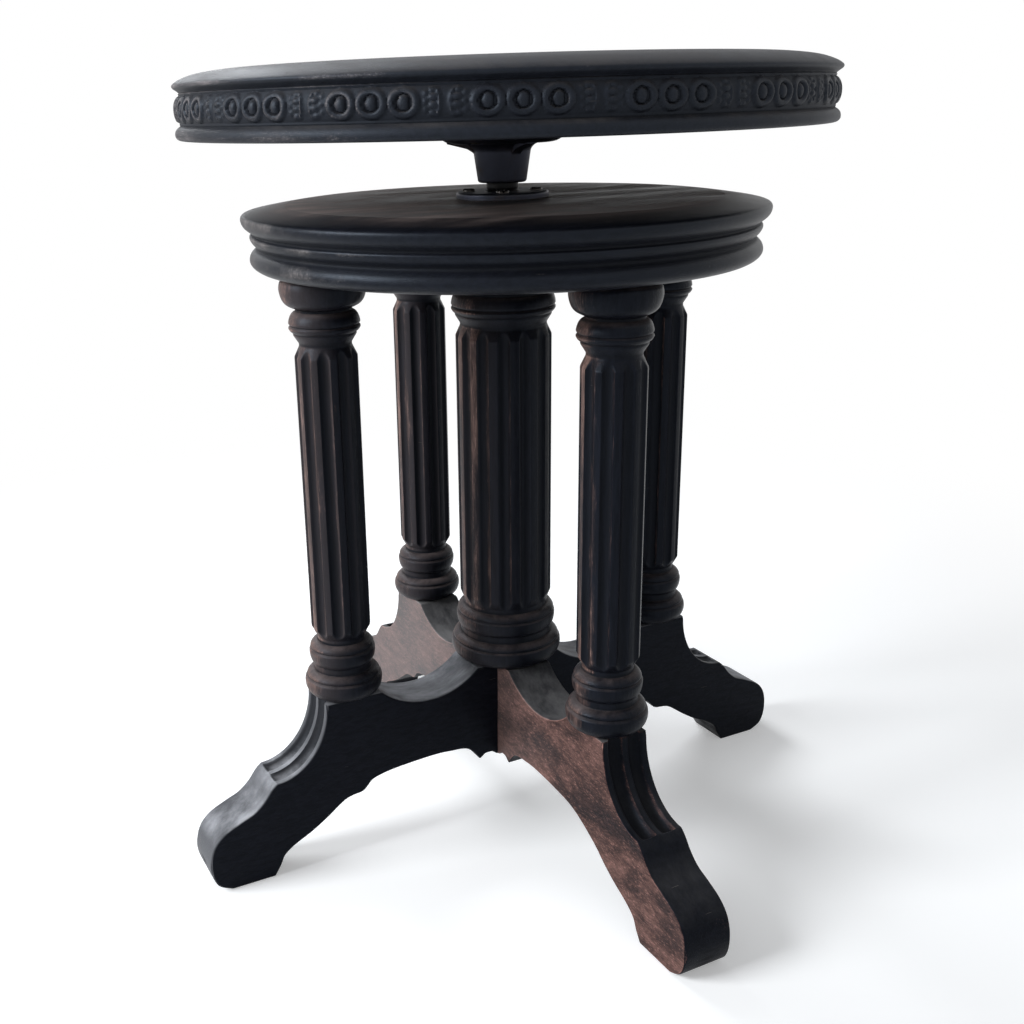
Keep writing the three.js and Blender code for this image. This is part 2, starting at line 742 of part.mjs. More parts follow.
// Nut and its screws
addMesh(base, 'nut_plate', nutBody(), castIron, plateBottom);
const nutHeadSeat = plateTop - nutScrew.headHeight + nutScrew.proud + clearance;
ring(nutScrew.count, nutScrew.circle, nutScrew.turn).forEach(([x, y], i) => {
  const shank = nutScrew.length - nutScrew.headHeight;
  addMesh(base, `nut_screw_${i + 1}`, screwBody(nutScrew, shank), brightIron, nutHeadSeat, x, y);
});

// Seat with its casting, spindle and screws
addMesh(seat, 'seat_casting', castingBody(), castIron, castingBottom);
addMesh(seat, 'spindle', spindleBody(), brightIron, castingBottom);
addMesh(seat, 'hub_pin', hubPinRod(), brightIron, castingBottom);
addMesh(seat, 'seat_rim_board', seatRimBody(), ebonised, seatBottom);
addMesh(seat, 'seat_top_board', seatTopBody(), ebonised, seatJoint);
const flangeHeadSeat = castingBottom + casting.height - flangeScrew.seatDepth - clearance;
flangeScrewPlaces().forEach(([x, y], i) => {
  const shank = flangeScrew.length - flangeScrew.headHeight;
  const screw = addMesh(
    seat, `flange_screw_${i + 1}`, screwBody(flangeScrew, shank), brightIron, flangeHeadSeat, x, y);
  screw.rotation.x = Math.PI;
});
const washerBottom = spindleBottom + clearance;
addMesh(seat, 'stop_washer', stopWasherBody(), castIron, washerBottom);
const endScrewMesh = addMesh(
  seat, 'spindle_end_screw', screwBody(endScrew, endScrew.length), brightIron,
  spindleBottom - glueLine);
endScrewMesh.rotation.x = Math.PI;

export default stool;
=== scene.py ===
import math

import bmesh
import bpy
import numpy as np
from mathutils import Matrix, Vector


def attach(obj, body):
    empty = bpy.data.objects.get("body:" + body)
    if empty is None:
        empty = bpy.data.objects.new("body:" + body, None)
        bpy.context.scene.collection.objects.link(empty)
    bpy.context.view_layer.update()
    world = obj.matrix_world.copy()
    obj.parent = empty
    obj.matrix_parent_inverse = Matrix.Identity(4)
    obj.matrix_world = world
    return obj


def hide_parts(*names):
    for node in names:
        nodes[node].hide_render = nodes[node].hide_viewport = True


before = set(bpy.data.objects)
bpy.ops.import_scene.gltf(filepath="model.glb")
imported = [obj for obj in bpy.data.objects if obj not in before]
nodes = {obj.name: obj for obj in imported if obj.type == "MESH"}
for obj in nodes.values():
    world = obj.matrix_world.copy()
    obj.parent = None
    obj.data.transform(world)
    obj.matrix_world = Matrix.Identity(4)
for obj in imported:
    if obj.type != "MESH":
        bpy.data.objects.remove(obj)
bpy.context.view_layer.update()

MM = 0.001
TURN = 2 * math.pi
MERGE_DISTANCE = 0.000002
SHARP_FOLD = math.radians(42)

# Heights above the floor in millimetres, the same as in the solids
COLUMN_FOOT = 105.1
PLATFORM_BOTTOM = 353.2
PLATE_BOTTOM = 388.1
CASTING_BOTTOM = 396.6
SEAT_BOTTOM = 424.9
SEAT_JOINT = 449.0


# ---- Surfaces ----

def eased(outline, reach, steps=4, most=0.45):
    """An outline with each corner P replaced by (1-t)^2 A + 2t(1-t) P + t^2 B, where A and B
    lie `reach` before and after it, or the share `most` of the side if that is shorter."""
    p = np.asarray(outline, float)
    here = p[1:-1]
    ends = []
    for other in (p[:-2], p[2:]):
        side = other - here
        length = np.linalg.norm(side, axis=1, keepdims=True)
        ends.append(here + side / length * np.minimum(reach, most * length))
    t = np.linspace(0, 1, steps + 1)[None, :, None]
    a, b = ends[0][:, None], ends[1][:, None]
    curve = (1 - t) ** 2 * a + 2 * t * (1 - t) * here[:, None] + t ** 2 * b
    return np.vstack([p[:1], curve.reshape(-1, 2), p[-1:]])


def lengths_along(outline):
    """Distance of each point from the first, measured along the outline."""
    return np.r_[0, np.cumsum(np.linalg.norm(np.diff(outline, axis=0), axis=1))]


def spaced(outline, spacing):
    """Points at equal distances along an outline."""
    p = np.asarray(outline, float)
    s = lengths_along(p)
    at = np.linspace(0, s[-1], max(int(round(s[-1] / spacing)), 1) + 1)
    return np.column_stack([np.interp(at, s, p[:, 0]), np.interp(at, s, p[:, 1])])


def through(points, steps):
    """Curve through all points: a cubic for each pair, whose slope at a point is half the
    way from the point before it to the point after it."""
    p = np.asarray(points, float)
    q = np.vstack([p[:1], p, p[-1:]])
    a, b, c, d = q[:-3, None], q[1:-2, None], q[2:-1, None], q[3:, None]
    t = (np.arange(steps) / steps)[None, :, None]
    slope_b, slope_c = (c - a) / 2, (d - b) / 2
    curve = ((2 * b - 2 * c + slope_b + slope_c) * t ** 3
             + (-3 * b + 3 * c - 2 * slope_b - slope_c) * t ** 2 + slope_b * t + b)
    return np.vstack([curve.reshape(-1, 2), p[-1:]])


def bulge(outline, radius, height, first="out", steps=8):
    """Continues an outline by a quarter of an ellipse that runs first out or first up."""
    r0, z0 = outline[-1]
    t = np.arange(1, steps + 1) / steps * math.pi / 2
    early, late = np.sin(t), 1 - np.cos(t)
    r, z = (early, late) if first == "out" else (late, early)
    outline.extend(zip(r0 + (radius - r0) * r, z0 + (height - z0) * z))


def torus(outline, widest, end, height):
    """Continues an outline by a round moulding, widest half way up."""
    bottom = outline[-1][1]
    bulge(outline, widest, bottom + height / 2, "out")
    bulge(outline, end, bottom + height, "up")


def edge_masks(outline, reach, full=0.22):
    """How far each point stands out from, or lies behind, the mean of the outline within
    `reach` of it, along the normal: the first is where hands rub, the second where dirt
    stays. Either is 1 where that is the share `full` of the reach or more."""
    s = lengths_along(outline)
    fine = np.linspace(0, s[-1], 4 * len(s))
    mean = []
    for k in (0, 1):
        values = np.interp(fine, s, outline[:, k])
        total = np.r_[0, np.cumsum((values[1:] + values[:-1]) / 2 * np.diff(fine))]
        lo, hi = np.clip(s - reach, 0, s[-1]), np.clip(s + reach, 0, s[-1])
        mean.append((np.interp(hi, fine, total) - np.interp(lo, fine, total)) / (hi - lo))
    tangent = np.gradient(outline, axis=0)
    tangent /= np.maximum(np.linalg.norm(tangent, axis=1, keepdims=True), 1e-9)
    normal = np.column_stack([tangent[:, 1], -tangent[:, 0]])
    rub = ((outline - np.column_stack(mean)) * normal).sum(1) / (full * reach)
    return np.clip(rub, 0, 1), np.clip(-rub, 0, 1)


def on_circle(radius, angle):
    """The point at an angle on a circle about the axis."""
    return radius * math.cos(angle), radius * math.sin(angle)


def step_up(x, low, high):
    """0 below low, 1 above high, and 3t^2 - 2t^3 between."""
    t = np.clip((x - low) / (high - low), 0, 1)
    return t * t * (3 - 2 * t)


def make_piece(name, grid, body, material, stands_for, rub=None, grime=None, shut=False):
    """Puts a grid of points, in millimetres, into a mesh. Its columns close on themselves,
    its rows do too if `shut`, and points that meet are merged."""
    rows, cols = grid.shape[:2]
    index = np.arange(rows * cols).reshape(rows, cols)
    low, high = (index, np.roll(index, -1, 0)) if shut else (index[:-1], index[1:])
    faces = np.stack([low, np.roll(low, -1, 1), np.roll(high, -1, 1), high], -1).reshape(-1, 4)
    mesh = bpy.data.meshes.new(name)
    mesh.from_pydata((grid.reshape(-1, 3) * MM).tolist(), [], faces.tolist())
    for label, mask in (("rub", rub), ("grime", grime)):
        values = np.zeros((rows, cols)) if mask is None else np.broadcast_to(mask, (rows, cols))
        layer = mesh.attributes.new(label, "FLOAT", "POINT")
        layer.data.foreach_set("value", np.ascontiguousarray(values, np.float32).ravel())
    work = bmesh.new()
    work.from_mesh(mesh)
    bmesh.ops.remove_doubles(work, verts=work.verts, dist=MERGE_DISTANCE)
    bmesh.ops.recalc_face_normals(work, faces=work.faces)
    work.to_mesh(mesh)
    work.free()
    mesh.polygons.foreach_set("use_smooth", np.ones(len(mesh.polygons), bool))
    mesh.set_sharp_from_angle(angle=SHARP_FOLD)
    mesh.materials.append(material)
    thing = bpy.data.objects.new(name, mesh)
    bpy.context.scene.collection.objects.link(thing)
    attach(thing, body)
    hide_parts(*stands_for)
    return thing


def turned(name, outline, sides, body, material, stands_for, shape=None, place=(0, 0),
           height=0, over=False, reach=3, shut=False):
    """An outline of radius and height turned about +Z: x = r cos a, y = r sin a. `shape`
    takes angle, radius and height as grids and returns the new radius and height and what
    it adds to the rubbed places."""
    outline = np.asarray(outline, float)
    angle = np.arange(sides) * TURN / sides
    r = np.repeat(outline[:, :1], sides, 1)
    z = np.repeat(outline[:, 1:], sides, 1)
    rub, grime = edge_masks(outline, reach)
    rub, grime = np.repeat(rub[:, None], sides, 1), np.repeat(grime[:, None], sides, 1)
    if shape:
        r, z, more = shape(angle[None, :], r, z)
        rub, grime = np.clip(rub + more, 0, 1), np.clip(grime - more, 0, 1)
    if over:
        z = -z
    grid = np.stack([place[0] + r * np.cos(angle), place[1] + r * np.sin(angle), z + height], -1)
    return make_piece(name, grid, body, material, stands_for, rub, grime, shut)


# ---- Finishes ----

def feed(tree, node, ins):
    """Sets a node's inputs: each is linked to a socket or given a constant."""
    for key, value in ins.items():
        if isinstance(value, bpy.types.NodeSocket):
            tree.links.new(value, node.inputs[key])
        else:
            node.inputs[key].default_value = value


def put(tree, kind, ins=None, **settings):
    """A new node with its settings and its inputs."""
    node = tree.nodes.new(kind)
    for key, value in settings.items():
        setattr(node, key, value)
    feed(tree, node, ins or {})
    return node


def maths(tree, operation, *values, clamp=False):
    """The result of one operation on values or sockets."""
    return put(tree, "ShaderNodeMath", dict(enumerate(values)), operation=operation,
               use_clamp=clamp).outputs[0]


def times(tree, a, b, clamp=False):
    """a * b"""
    return maths(tree, "MULTIPLY", a, b, clamp=clamp)


def weighted(tree, *terms, start=0.0, clamp=False):
    """start + value * weight for each pair of value and weight."""
    total = start
    for value, weight in terms:
        last = put(tree, "ShaderNodeMath", {0: value, 1: weight, 2: total},
                   operation="MULTIPLY_ADD")
        total = last.outputs[0]
    last.use_clamp = clamp
    return total


def without(tree, value):
    """1 - value"""
    return weighted(tree, (value, -1.0), start=1.0)


def scaled(tree, vector, by):
    """A vector or colour times a number."""
    return put(tree, "ShaderNodeVectorMath", {0: vector, "Scale": by}, operation="SCALE").outputs[0]


def dot(tree, vector, direction):
    """How far a vector runs in a direction: their dot product."""
    return put(tree, "ShaderNodeVectorMath", {0: vector, 1: direction},
               operation="DOT_PRODUCT").outputs["Value"]


def ramp(tree, value, low, high):
    """Smooth step of a value from 0 at low to 1 at high."""
    return put(tree, "ShaderNodeMapRange",
               {"Value": value, "From Min": low, "From Max": high},
               interpolation_type="SMOOTHSTEP").outputs["Result"]


def blend(tree, share, a, b):
    """Colour a where share is 0 and b where it is 1."""
    return put(tree, "ShaderNodeMix", {0: share, 6: a, 7: b}, data_type="RGBA").outputs[2]


def effect(name, outputs, **inputs):
    """A new node group with named outputs, and with inputs whose values tell their kind: four
    numbers are a colour, three a vector. Returns the group, its inputs and its output node."""
    tree = bpy.data.node_groups.new(name, "ShaderNodeTree")
    for label, value in inputs.items():
        kind = {3: "Vector", 4: "Color"}[len(value)] if isinstance(value, tuple) else "Float"
        socket = tree.interface.new_socket(label, in_out="INPUT", socket_type="NodeSocket" + kind)
        socket.default_value = value
    for label in outputs:
        kind = "Color" if label == "Color" else "Float"
        tree.interface.new_socket(label, in_out="OUTPUT", socket_type="NodeSocket" + kind)
    return tree, tree.nodes.new("NodeGroupInput").outputs, tree.nodes.new("NodeGroupOutput")


def own_place(tree):
    """Where a point lies in its piece's own space, in metres."""
    return put(tree, "ShaderNodeTexCoord").outputs["Object"]


def masks(tree):
    """Where hands rub and where dirt stays."""
    return [put(tree, "ShaderNodeAttribute", attribute_name=label).outputs["Fac"]
            for label in ("rub", "grime")]


def noise(tree, vector, scale, detail, rough, warp=0.0):
    """Fractal noise from 0 to 1, with `scale` cells to the metre."""
    return put(tree, "ShaderNodeTexNoise", {
        "Vector": vector, "Scale": scale, "Detail": detail, "Roughness": rough,
        "Distortion": warp}).outputs["Fac"]


def make_grain():
    """Wood grain: noise stretched along the board or column. Streaks are the year rings,
    pores the short dark lines, flecks the short pale ones, mottle the broad clouds of an old
    stain, patches the places where it is handled."""
    tree, given, out = effect("wood_grain", ("Streaks", "Pores", "Mottle", "Patches", "Flecks"),
                              Stretch=(1, 1, 0.05))
    at = own_place(tree)
    run = put(tree, "ShaderNodeVectorMath", {0: at, 1: given["Stretch"]},
              operation="MULTIPLY").outputs[0]
    slow = put(tree, "ShaderNodeVectorMath", {0: run, 1: scaled(tree, at, 0.28)},
               operation="ADD").outputs[0]
    streaks = noise(tree, run, scale=420, detail=6, rough=0.62, warp=0.6)
    pores = noise(tree, run, scale=1500, detail=2, rough=0.5)
    flecks = noise(tree, run, scale=1350, detail=4, rough=0.7, warp=0.3)
    mottle = noise(tree, slow, scale=30, detail=9, rough=0.66, warp=0.25)
    patches = noise(tree, slow, scale=15, detail=3, rough=0.5, warp=0.2)
    feed(tree, out, {
        "Streaks": streaks, "Mottle": mottle, "Pores": ramp(tree, pores, 0.56, 0.72),
        "Flecks": ramp(tree, flecks, 0.52, 0.68), "Patches": ramp(tree, patches, 0.3, 0.6)})
    return tree


# Direction of the window lamp: faces turned this way get painted light in the wear and a painted
# sheen in the pale layer
TO_THE_WINDOW = (-0.9, 0.42, 0.1)
BLACK = (0, 0, 0, 1)
DIRT = (0.006, 0.006, 0.007, 1)


def make_worn():
    """Old stain over bare wood. Wear shows where hands rub, broken up by mottle and grain, and the
    hollows keep dirt. More bare wood shows on the side turned to the window lamp (towards -X),
    which is painted light: that side is paler, as where the light falls. The most rubbed arrises
    are paler still, which is worn wood and a painted highlight."""
    tree, given, out = effect(
        "worn_stain", ("Color", "Roughness", "Height"), Stain=BLACK, Bare=BLACK, Wear=0.5,
        Streaks=0.5, Pores=0.0, Mottle=0.5, Patches=0.5, Gloss=0.4, Faded=0.3, Flecks=0.0,
        Rubbed=1.0)
    rub, grime = masks(tree)
    normal = put(tree, "ShaderNodeTexCoord").outputs["Normal"]
    # Painted light: faces turned to the window lamp show more bare wood, paler as if lit
    faded = times(tree, ramp(tree, dot(tree, normal, TO_THE_WINDOW), 0.2, 0.92), given["Faded"])
    rubbed = times(tree, rub, weighted(tree, (given["Patches"], 0.6), start=0.12))
    gone = weighted(tree, (given["Mottle"], 1.25), (given["Streaks"], 0.3),
                    (rubbed, given["Rubbed"]), (given["Flecks"], 0.12), (given["Wear"], 1.0),
                    (faded, 1.0), start=-1.5)
    worn = ramp(tree, gone, 0.0, 0.6)
    lively = weighted(tree, (ramp(tree, given["Streaks"], 0.32, 0.68), 0.6), start=0.7)
    # Bare wood is paler still on the most rubbed arrises: worn wood, and a painted highlight along
    # them
    cloudy = weighted(tree, (ramp(tree, given["Mottle"], 0.34, 0.64), 0.85),
                      (given["Flecks"], 1.1), (ramp(tree, rub, 0.7, 1.0), 0.9), start=0.3)
    bare = scaled(tree, given["Bare"], times(tree, lively, cloudy))
    stain = scaled(tree, given["Stain"], lively)
    dark = weighted(tree, (grime, 0.6), (given["Pores"], 0.45), clamp=True)
    feed(tree, out, {
        "Color": blend(tree, dark, blend(tree, worn, stain, bare), DIRT),
        "Roughness": weighted(tree, (worn, 0.16), (grime, 0.22), (given["Mottle"], 0.12),
                              start=given["Gloss"]),
        "Height": weighted(tree, (given["Streaks"], 0.5), (given["Pores"], -0.7))})
    return tree


# Heights in metres between which the painted shade on the feet gives way to the full pale layer,
# and the direction across the stool along which the painted sheen grows and fades the other way
FEET_SWEPT = (0.072, 0.095)
ACROSS_THE_STOOL = (-0.7, 0.7, 0)


def make_dust():
    """A pale layer on what faces up, thicker in patches: settled dusting, which on the legs also
    stands for a painted sheen. Level is how flat a place must lie, and Swept how much of it is
    taken off the feet, which paints shade on them. Film is a painted sheen on what faces the window
    lamp, which fades across the stool away from that lamp and leaves the hollows dark."""
    tree, given, out = effect(
        "settled_dust", ("Color", "Roughness"), Color=BLACK, Roughness=0.5,
        Dust=(0.2, 0.2, 0.2, 1), Amount=0.3, Level=0.35, Mottle=0.5, Swept=0.0, Film=0.0)
    normal = put(tree, "ShaderNodeNewGeometry").outputs["Normal"]
    at, (_, grime) = own_place(tree), masks(tree)
    up = put(tree, "ShaderNodeSeparateXYZ", {0: normal}).outputs["Z"]
    height = put(tree, "ShaderNodeSeparateXYZ", {0: at}).outputs["Z"]
    flat = ramp(tree, up, given["Level"], weighted(tree, (given["Level"], 0.05), start=0.95))
    lies = times(tree, times(tree, flat, given["Amount"]),
                 ramp(tree, given["Mottle"], 0.3, 0.75), clamp=True)
    # Painted shade: the pale layer is taken off the feet below these heights so that they read dark
    swept = times(tree, without(tree, ramp(tree, height, *FEET_SWEPT)), given["Swept"])
    # Painted sheen: the pale colour laid on faces turned to the window lamp, stronger on the side
    # of the stool nearer it
    film = times(tree, ramp(tree, dot(tree, normal, TO_THE_WINDOW), -0.5, 0.7),
                 ramp(tree, dot(tree, at, ACROSS_THE_STOOL), -0.06, 0.09))
    film = times(tree, film, times(tree, without(tree, grime), given["Film"]))
    # Share of the pale colour: settled dusting and the painted sheen together
    lies = maths(tree, "ADD", times(tree, lies, without(tree, swept)), film, clamp=True)
    feed(tree, out, {
        "Color": blend(tree, lies, given["Color"], given["Dust"]),
        "Roughness": weighted(tree, (lies, 0.35), start=given["Roughness"])})
    return tree


def make_knocks():
    """A few small pale chips and short straight scratches: random points, each a dot or,
    in a space stretched along one line, a hair. Only points with a high chance show."""
    tree, given, out = effect("knocks", ("Color", "Dent"), Color=BLACK,
                              Chip=(0.3, 0.26, 0.23, 1))
    at = own_place(tree)
    rough = noise(tree, at, scale=900, detail=3, rough=0.6)
    marks = []
    for turn, scale, size, rarity in (((0, 0, 0), (48, 48, 48), 0.04, 0.93),
                                      ((0.3, 0.2, 0.5), (30, 30, 900), 0.16, 0.985),
                                      ((1.1, 0.4, 1.9), (34, 34, 1000), 0.16, 0.985)):
        space = put(tree, "ShaderNodeMapping", {
            "Vector": at, "Rotation": turn, "Scale": scale}).outputs[0]
        cells = put(tree, "ShaderNodeTexVoronoi", {"Vector": space, "Scale": 1.0})
        chance = put(tree, "ShaderNodeSeparateXYZ", {0: cells.outputs["Color"]}).outputs["X"]
        near = maths(tree, "LESS_THAN", cells.outputs["Distance"], times(tree, rough, size))
        marks.append(times(tree, near, maths(tree, "GREATER_THAN", chance, rarity)))
    chip, hair = marks[0], maths(tree, "MAXIMUM", marks[1], marks[2])
    colour = blend(tree, times(tree, hair, 0.18), given["Color"], given["Chip"])
    feed(tree, out, {"Color": blend(tree, chip, colour, given["Chip"]),
                     "Dent": weighted(tree, (hair, 0.5), start=chip)})
    return tree


def make_iron_skin():
    """Blackened iron: a grainy cast skin, rust in the hollows, brighter where it is rubbed."""
    tree, given, out = effect("iron_skin", ("Color", "Roughness", "Metallic", "Height"),
                              Black=BLACK, Bright=BLACK, Rust=BLACK, Wear=0.4)
    at, (rub, grime) = own_place(tree), masks(tree)
    patch = noise(tree, at, scale=70, detail=6, rough=0.6, warp=0.3)
    sand = noise(tree, at, scale=1400, detail=3, rough=0.6)
    shiny = ramp(tree, weighted(tree, (rub, given["Wear"]), (patch, 0.5)), 0.38, 0.8)
    rusty = times(tree, ramp(tree, weighted(tree, (grime, 0.3), start=patch), 0.52, 0.75), 0.6)
    colour = blend(tree, shiny, given["Black"], given["Bright"])
    feed(tree, out, {
        "Color": blend(tree, rusty, colour, given["Rust"]),
        "Roughness": weighted(tree, (rusty, 0.3), (shiny, -0.16), start=0.52),
        "Metallic": weighted(tree, (rusty, -1.0), start=0.85),
        "Height": weighted(tree, (rusty, 0.6), start=sand)})
    return tree


GRAIN, WORN, DUST, KNOCKS, IRON = (
    make_grain(), make_worn(), make_dust(), make_knocks(), make_iron_skin())


def use(tree, group, ins):
    """Places a group in a material and returns its outputs."""
    node = tree.nodes.new("ShaderNodeGroup")
    node.node_tree = group
    feed(tree, node, ins)
    return node.outputs


def new_material(name):
    """A material, its node tree and its shader."""
    material = bpy.data.materials.new(name)
    material.use_nodes = True
    tree = material.node_tree
    return material, tree, tree.nodes["Principled BSDF"]


def wood(name, stretch, bare, wear, faded, rubbed, dust, dust_colour, gloss=0.28, level=0.35,
         shine=0.09, swept=0.0, film=0.0):
    """Stained wood: grain, worn stain with painted light on the side towards the window lamp, a
    pale up-facing layer of settled dusting and painted sheen, then knocks, with a low bluish gloss.
    """
    material, tree, skin = new_material(name)
    grain = use(tree, GRAIN, {"Stretch": stretch})
    worn = use(tree, WORN, {
        "Stain": STAIN, "Bare": bare, "Wear": wear, "Faded": faded, "Gloss": gloss,
        "Rubbed": rubbed, **dict(grain.items())})
    dusty = use(tree, DUST, {
        "Color": worn["Color"], "Roughness": worn["Roughness"], "Dust": dust_colour,
        "Amount": dust, "Level": level, "Mottle": grain["Mottle"], "Swept": swept,
        "Film": film})
    knocked = use(tree, KNOCKS, {"Color": dusty["Color"]})
    height = maths(tree, "SUBTRACT", worn["Height"], knocked["Dent"])
    bump = put(tree, "ShaderNodeBump", {"Strength": 0.35, "Distance": 0.0003, "Height": height})
    feed(tree, skin, {
        "Base Color": knocked["Color"], "Roughness": dusty["Roughness"],
        "Normal": bump.outputs[0], "Specular IOR Level": shine, "Specular Tint": COOL})
    return material


def iron(name, black, bright, rust, wear, grit=0.4):
    """Blackened iron with a cast or filed skin."""
    material, tree, skin = new_material(name)
    parts = use(tree, IRON, {"Black": black, "Bright": bright, "Rust": rust, "Wear": wear})
    bump = put(tree, "ShaderNodeBump",
               {"Strength": grit, "Distance": 0.0002, "Height": parts["Height"]})
    feed(tree, skin, {
        "Base Color": parts["Color"], "Roughness": parts["Roughness"],
        "Metallic": parts["Metallic"], "Normal": bump.outputs[0]})
    return material


STAIN = (0.0056, 0.0062, 0.0095, 1)
BROWN = (0.122, 0.065, 0.055, 1)
COOL = (0.7, 0.83, 1, 1)
# Both leg boards are one wood. Their pale up-facing layer, bluish on the board along x, is settled
# dusting and a painted sheen on the scoops, pads and toes. The lower wear on the board along x is
# painted shade that keeps its sides dark.
leg_along_x = wood("leg_wood_along_x", (0.3, 1, 1), BROWN, wear=0.26, faded=0.35, rubbed=0.5,
                   dust=1, dust_colour=(0.34, 0.344, 0.365, 1), shine=0.06, film=0.22)
leg_along_y = wood("leg_wood_along_y", (1, 0.3, 1), BROWN, wear=0.5, faded=0.64, rubbed=0.5,
                   dust=0.6, dust_colour=(0.24, 0.235, 0.235, 1), shine=0.06, swept=0.8,
                   film=0.4)
column_wood = wood("column_wood", (1, 1, 0.09), (0.1, 0.062, 0.052, 1), wear=0.31, faded=0.56,
                   rubbed=0.4, dust=0.45, dust_colour=(0.21, 0.167, 0.158, 1), film=0.13)
platform_wood = wood("platform_wood", (0.06, 1, 1), (0.072, 0.065, 0.063, 1), wear=0.36,
                     faded=0.52, rubbed=0.25, dust=1, dust_colour=(0.38, 0.305, 0.28, 1),
                     gloss=0.34, level=0.985, shine=0.16)
seat_wood = wood("seat_wood", (1, 0.06, 1), (0.066, 0.059, 0.059, 1), wear=0.33, faded=0.42,
                 rubbed=0.55, dust=0.5, dust_colour=(0.1, 0.092, 0.09, 1), gloss=0.47,
                 shine=0.23)
cast_iron = iron("cast_iron", (0.05, 0.054, 0.075, 1), (0.1, 0.102, 0.12, 1),
                 (0.05, 0.028, 0.02, 1), 0.5)
spindle_iron = iron("spindle_iron", (0.02, 0.02, 0.021, 1), (0.1, 0.096, 0.092, 1),
                    (0.05, 0.028, 0.02, 1), 0.7, 0.2)
screw_iron = iron("screw_iron", (0.025, 0.024, 0.024, 1), (0.08, 0.075, 0.07, 1),
                  (0.06, 0.032, 0.02, 1), 0.6, 0.2)


# ---- Columns ----

COLUMN_HEIGHT = 248
BASE_TORUS, BASE_NECK, BASE_BEAD, LOWER_WAIST, LOWER_CHAMFER = 16.5, 4.5, 14, 3, 5.5
UPPER_CHAMFER, UPPER_WAIST, COLLAR_FLARE, COLLAR_CURL, UPPER_NECK, CAP_TORUS = (
    6, 1.5, 9.5, 8, 1.5, 16.5)
CAP_SHARES = [(0.22, 0.04), (0.56, 0.13), (0.79, 0.26), (0.92, 0.42), (1, 0.62), (0.98, 0.77),
              (0.9, 0.9)]
# Radii; then the flutes, the radius and depth of their gouge, and the sides of the mesh
OUTER = dict(foot=16.5, torus=23.2, neck=17.2, bead=19.7, waist=14.3, shaft=17.5, top_waist=14.6,
             collar=19.9, top_neck=15.6, cap=23.9, top=21.5, flutes=10, gouge=3.8, depth=2.2,
             sides=260)
CENTRE = dict(foot=27.5, torus=34.7, neck=28.6, bead=31, waist=26.1, shaft=28.4, top_waist=25.6,
              collar=30.8, top_neck=27.5, cap=35.6, top=33, flutes=14, gouge=4, depth=2.2,
              sides=308)
BEAD_BOTTOM = BASE_TORUS + BASE_NECK
BEAD_TOP = BEAD_BOTTOM + BASE_BEAD
COLLAR_TOP = COLUMN_HEIGHT - CAP_TORUS - UPPER_NECK
COLLAR_WIDEST = COLLAR_TOP - COLLAR_CURL
COLLAR_BOTTOM = COLLAR_WIDEST - COLLAR_FLARE
COLLAR_EDGE = 1.2
FINE_ROWS, COARSE_ROWS_EVERY = 0.55, 12
SHAFT_ENDS = (BEAD_TOP + LOWER_WAIST + LOWER_CHAMFER + 3, COLLAR_BOTTOM - 14)
# Scratched lines: height and depth, all of one width
SCRATCHES = ((BASE_TORUS * 0.74, 1.1), (BEAD_BOTTOM + BASE_BEAD * 0.66, 1.0),
             (COLLAR_WIDEST + 0.4, 0.9), (COLLAR_WIDEST - 3.8, 0.7))
SCRATCH_WIDTH = 0.7


def column_outline(size):
    """Foot torus, neck, bead, waist, shaft between chamfers, waist, flared collar, neck and
    cap torus, from the foot up, all round mouldings being quarters of ellipses."""
    outline = [(size["foot"], 0.0)]
    torus(outline, size["torus"], size["neck"], BASE_TORUS)
    outline.append((size["neck"], BEAD_BOTTOM))
    torus(outline, size["bead"], size["waist"], BASE_BEAD)
    waist_bottom, waist_top = BEAD_TOP + LOWER_WAIST, COLLAR_BOTTOM - UPPER_WAIST
    outline += [(size["waist"], waist_bottom), (size["shaft"], waist_bottom + LOWER_CHAMFER),
                (size["shaft"], waist_top - UPPER_CHAMFER), (size["top_waist"], waist_top),
                (size["top_waist"], COLLAR_BOTTOM),
                (size["collar"], COLLAR_WIDEST - COLLAR_EDGE), (size["collar"], COLLAR_WIDEST)]
    bulge(outline, size["top_neck"], COLLAR_TOP, "up", 6)
    neck, foot = size["top_neck"], COLUMN_HEIGHT - CAP_TORUS
    cap = [(neck, foot)] + [(neck + u * (size["cap"] - neck), foot + v * CAP_TORUS)
                            for u, v in CAP_SHARES] + [(size["top"], COLUMN_HEIGHT)]
    outline.extend(through(cap, 5))
    return outline


def column_rows(size):
    """The outline at fine spacing on the mouldings and coarse spacing along the shaft, with
    a scratched line on each torus and two on the collar: r - d exp(-((z - z0) / w)^2)."""
    p = spaced(eased(column_outline(size), 0.5), FINE_ROWS)
    shaft = (p[:, 1] > SHAFT_ENDS[0]) & (p[:, 1] < SHAFT_ENDS[1])
    keep = ~shaft
    keep[np.flatnonzero(shaft)[::COARSE_ROWS_EVERY]] = True
    p = p[keep]
    for z0, deep in SCRATCHES:
        p[:, 0] -= deep * np.exp(-((p[:, 1] - z0) / SCRATCH_WIDTH) ** 2)
    return p


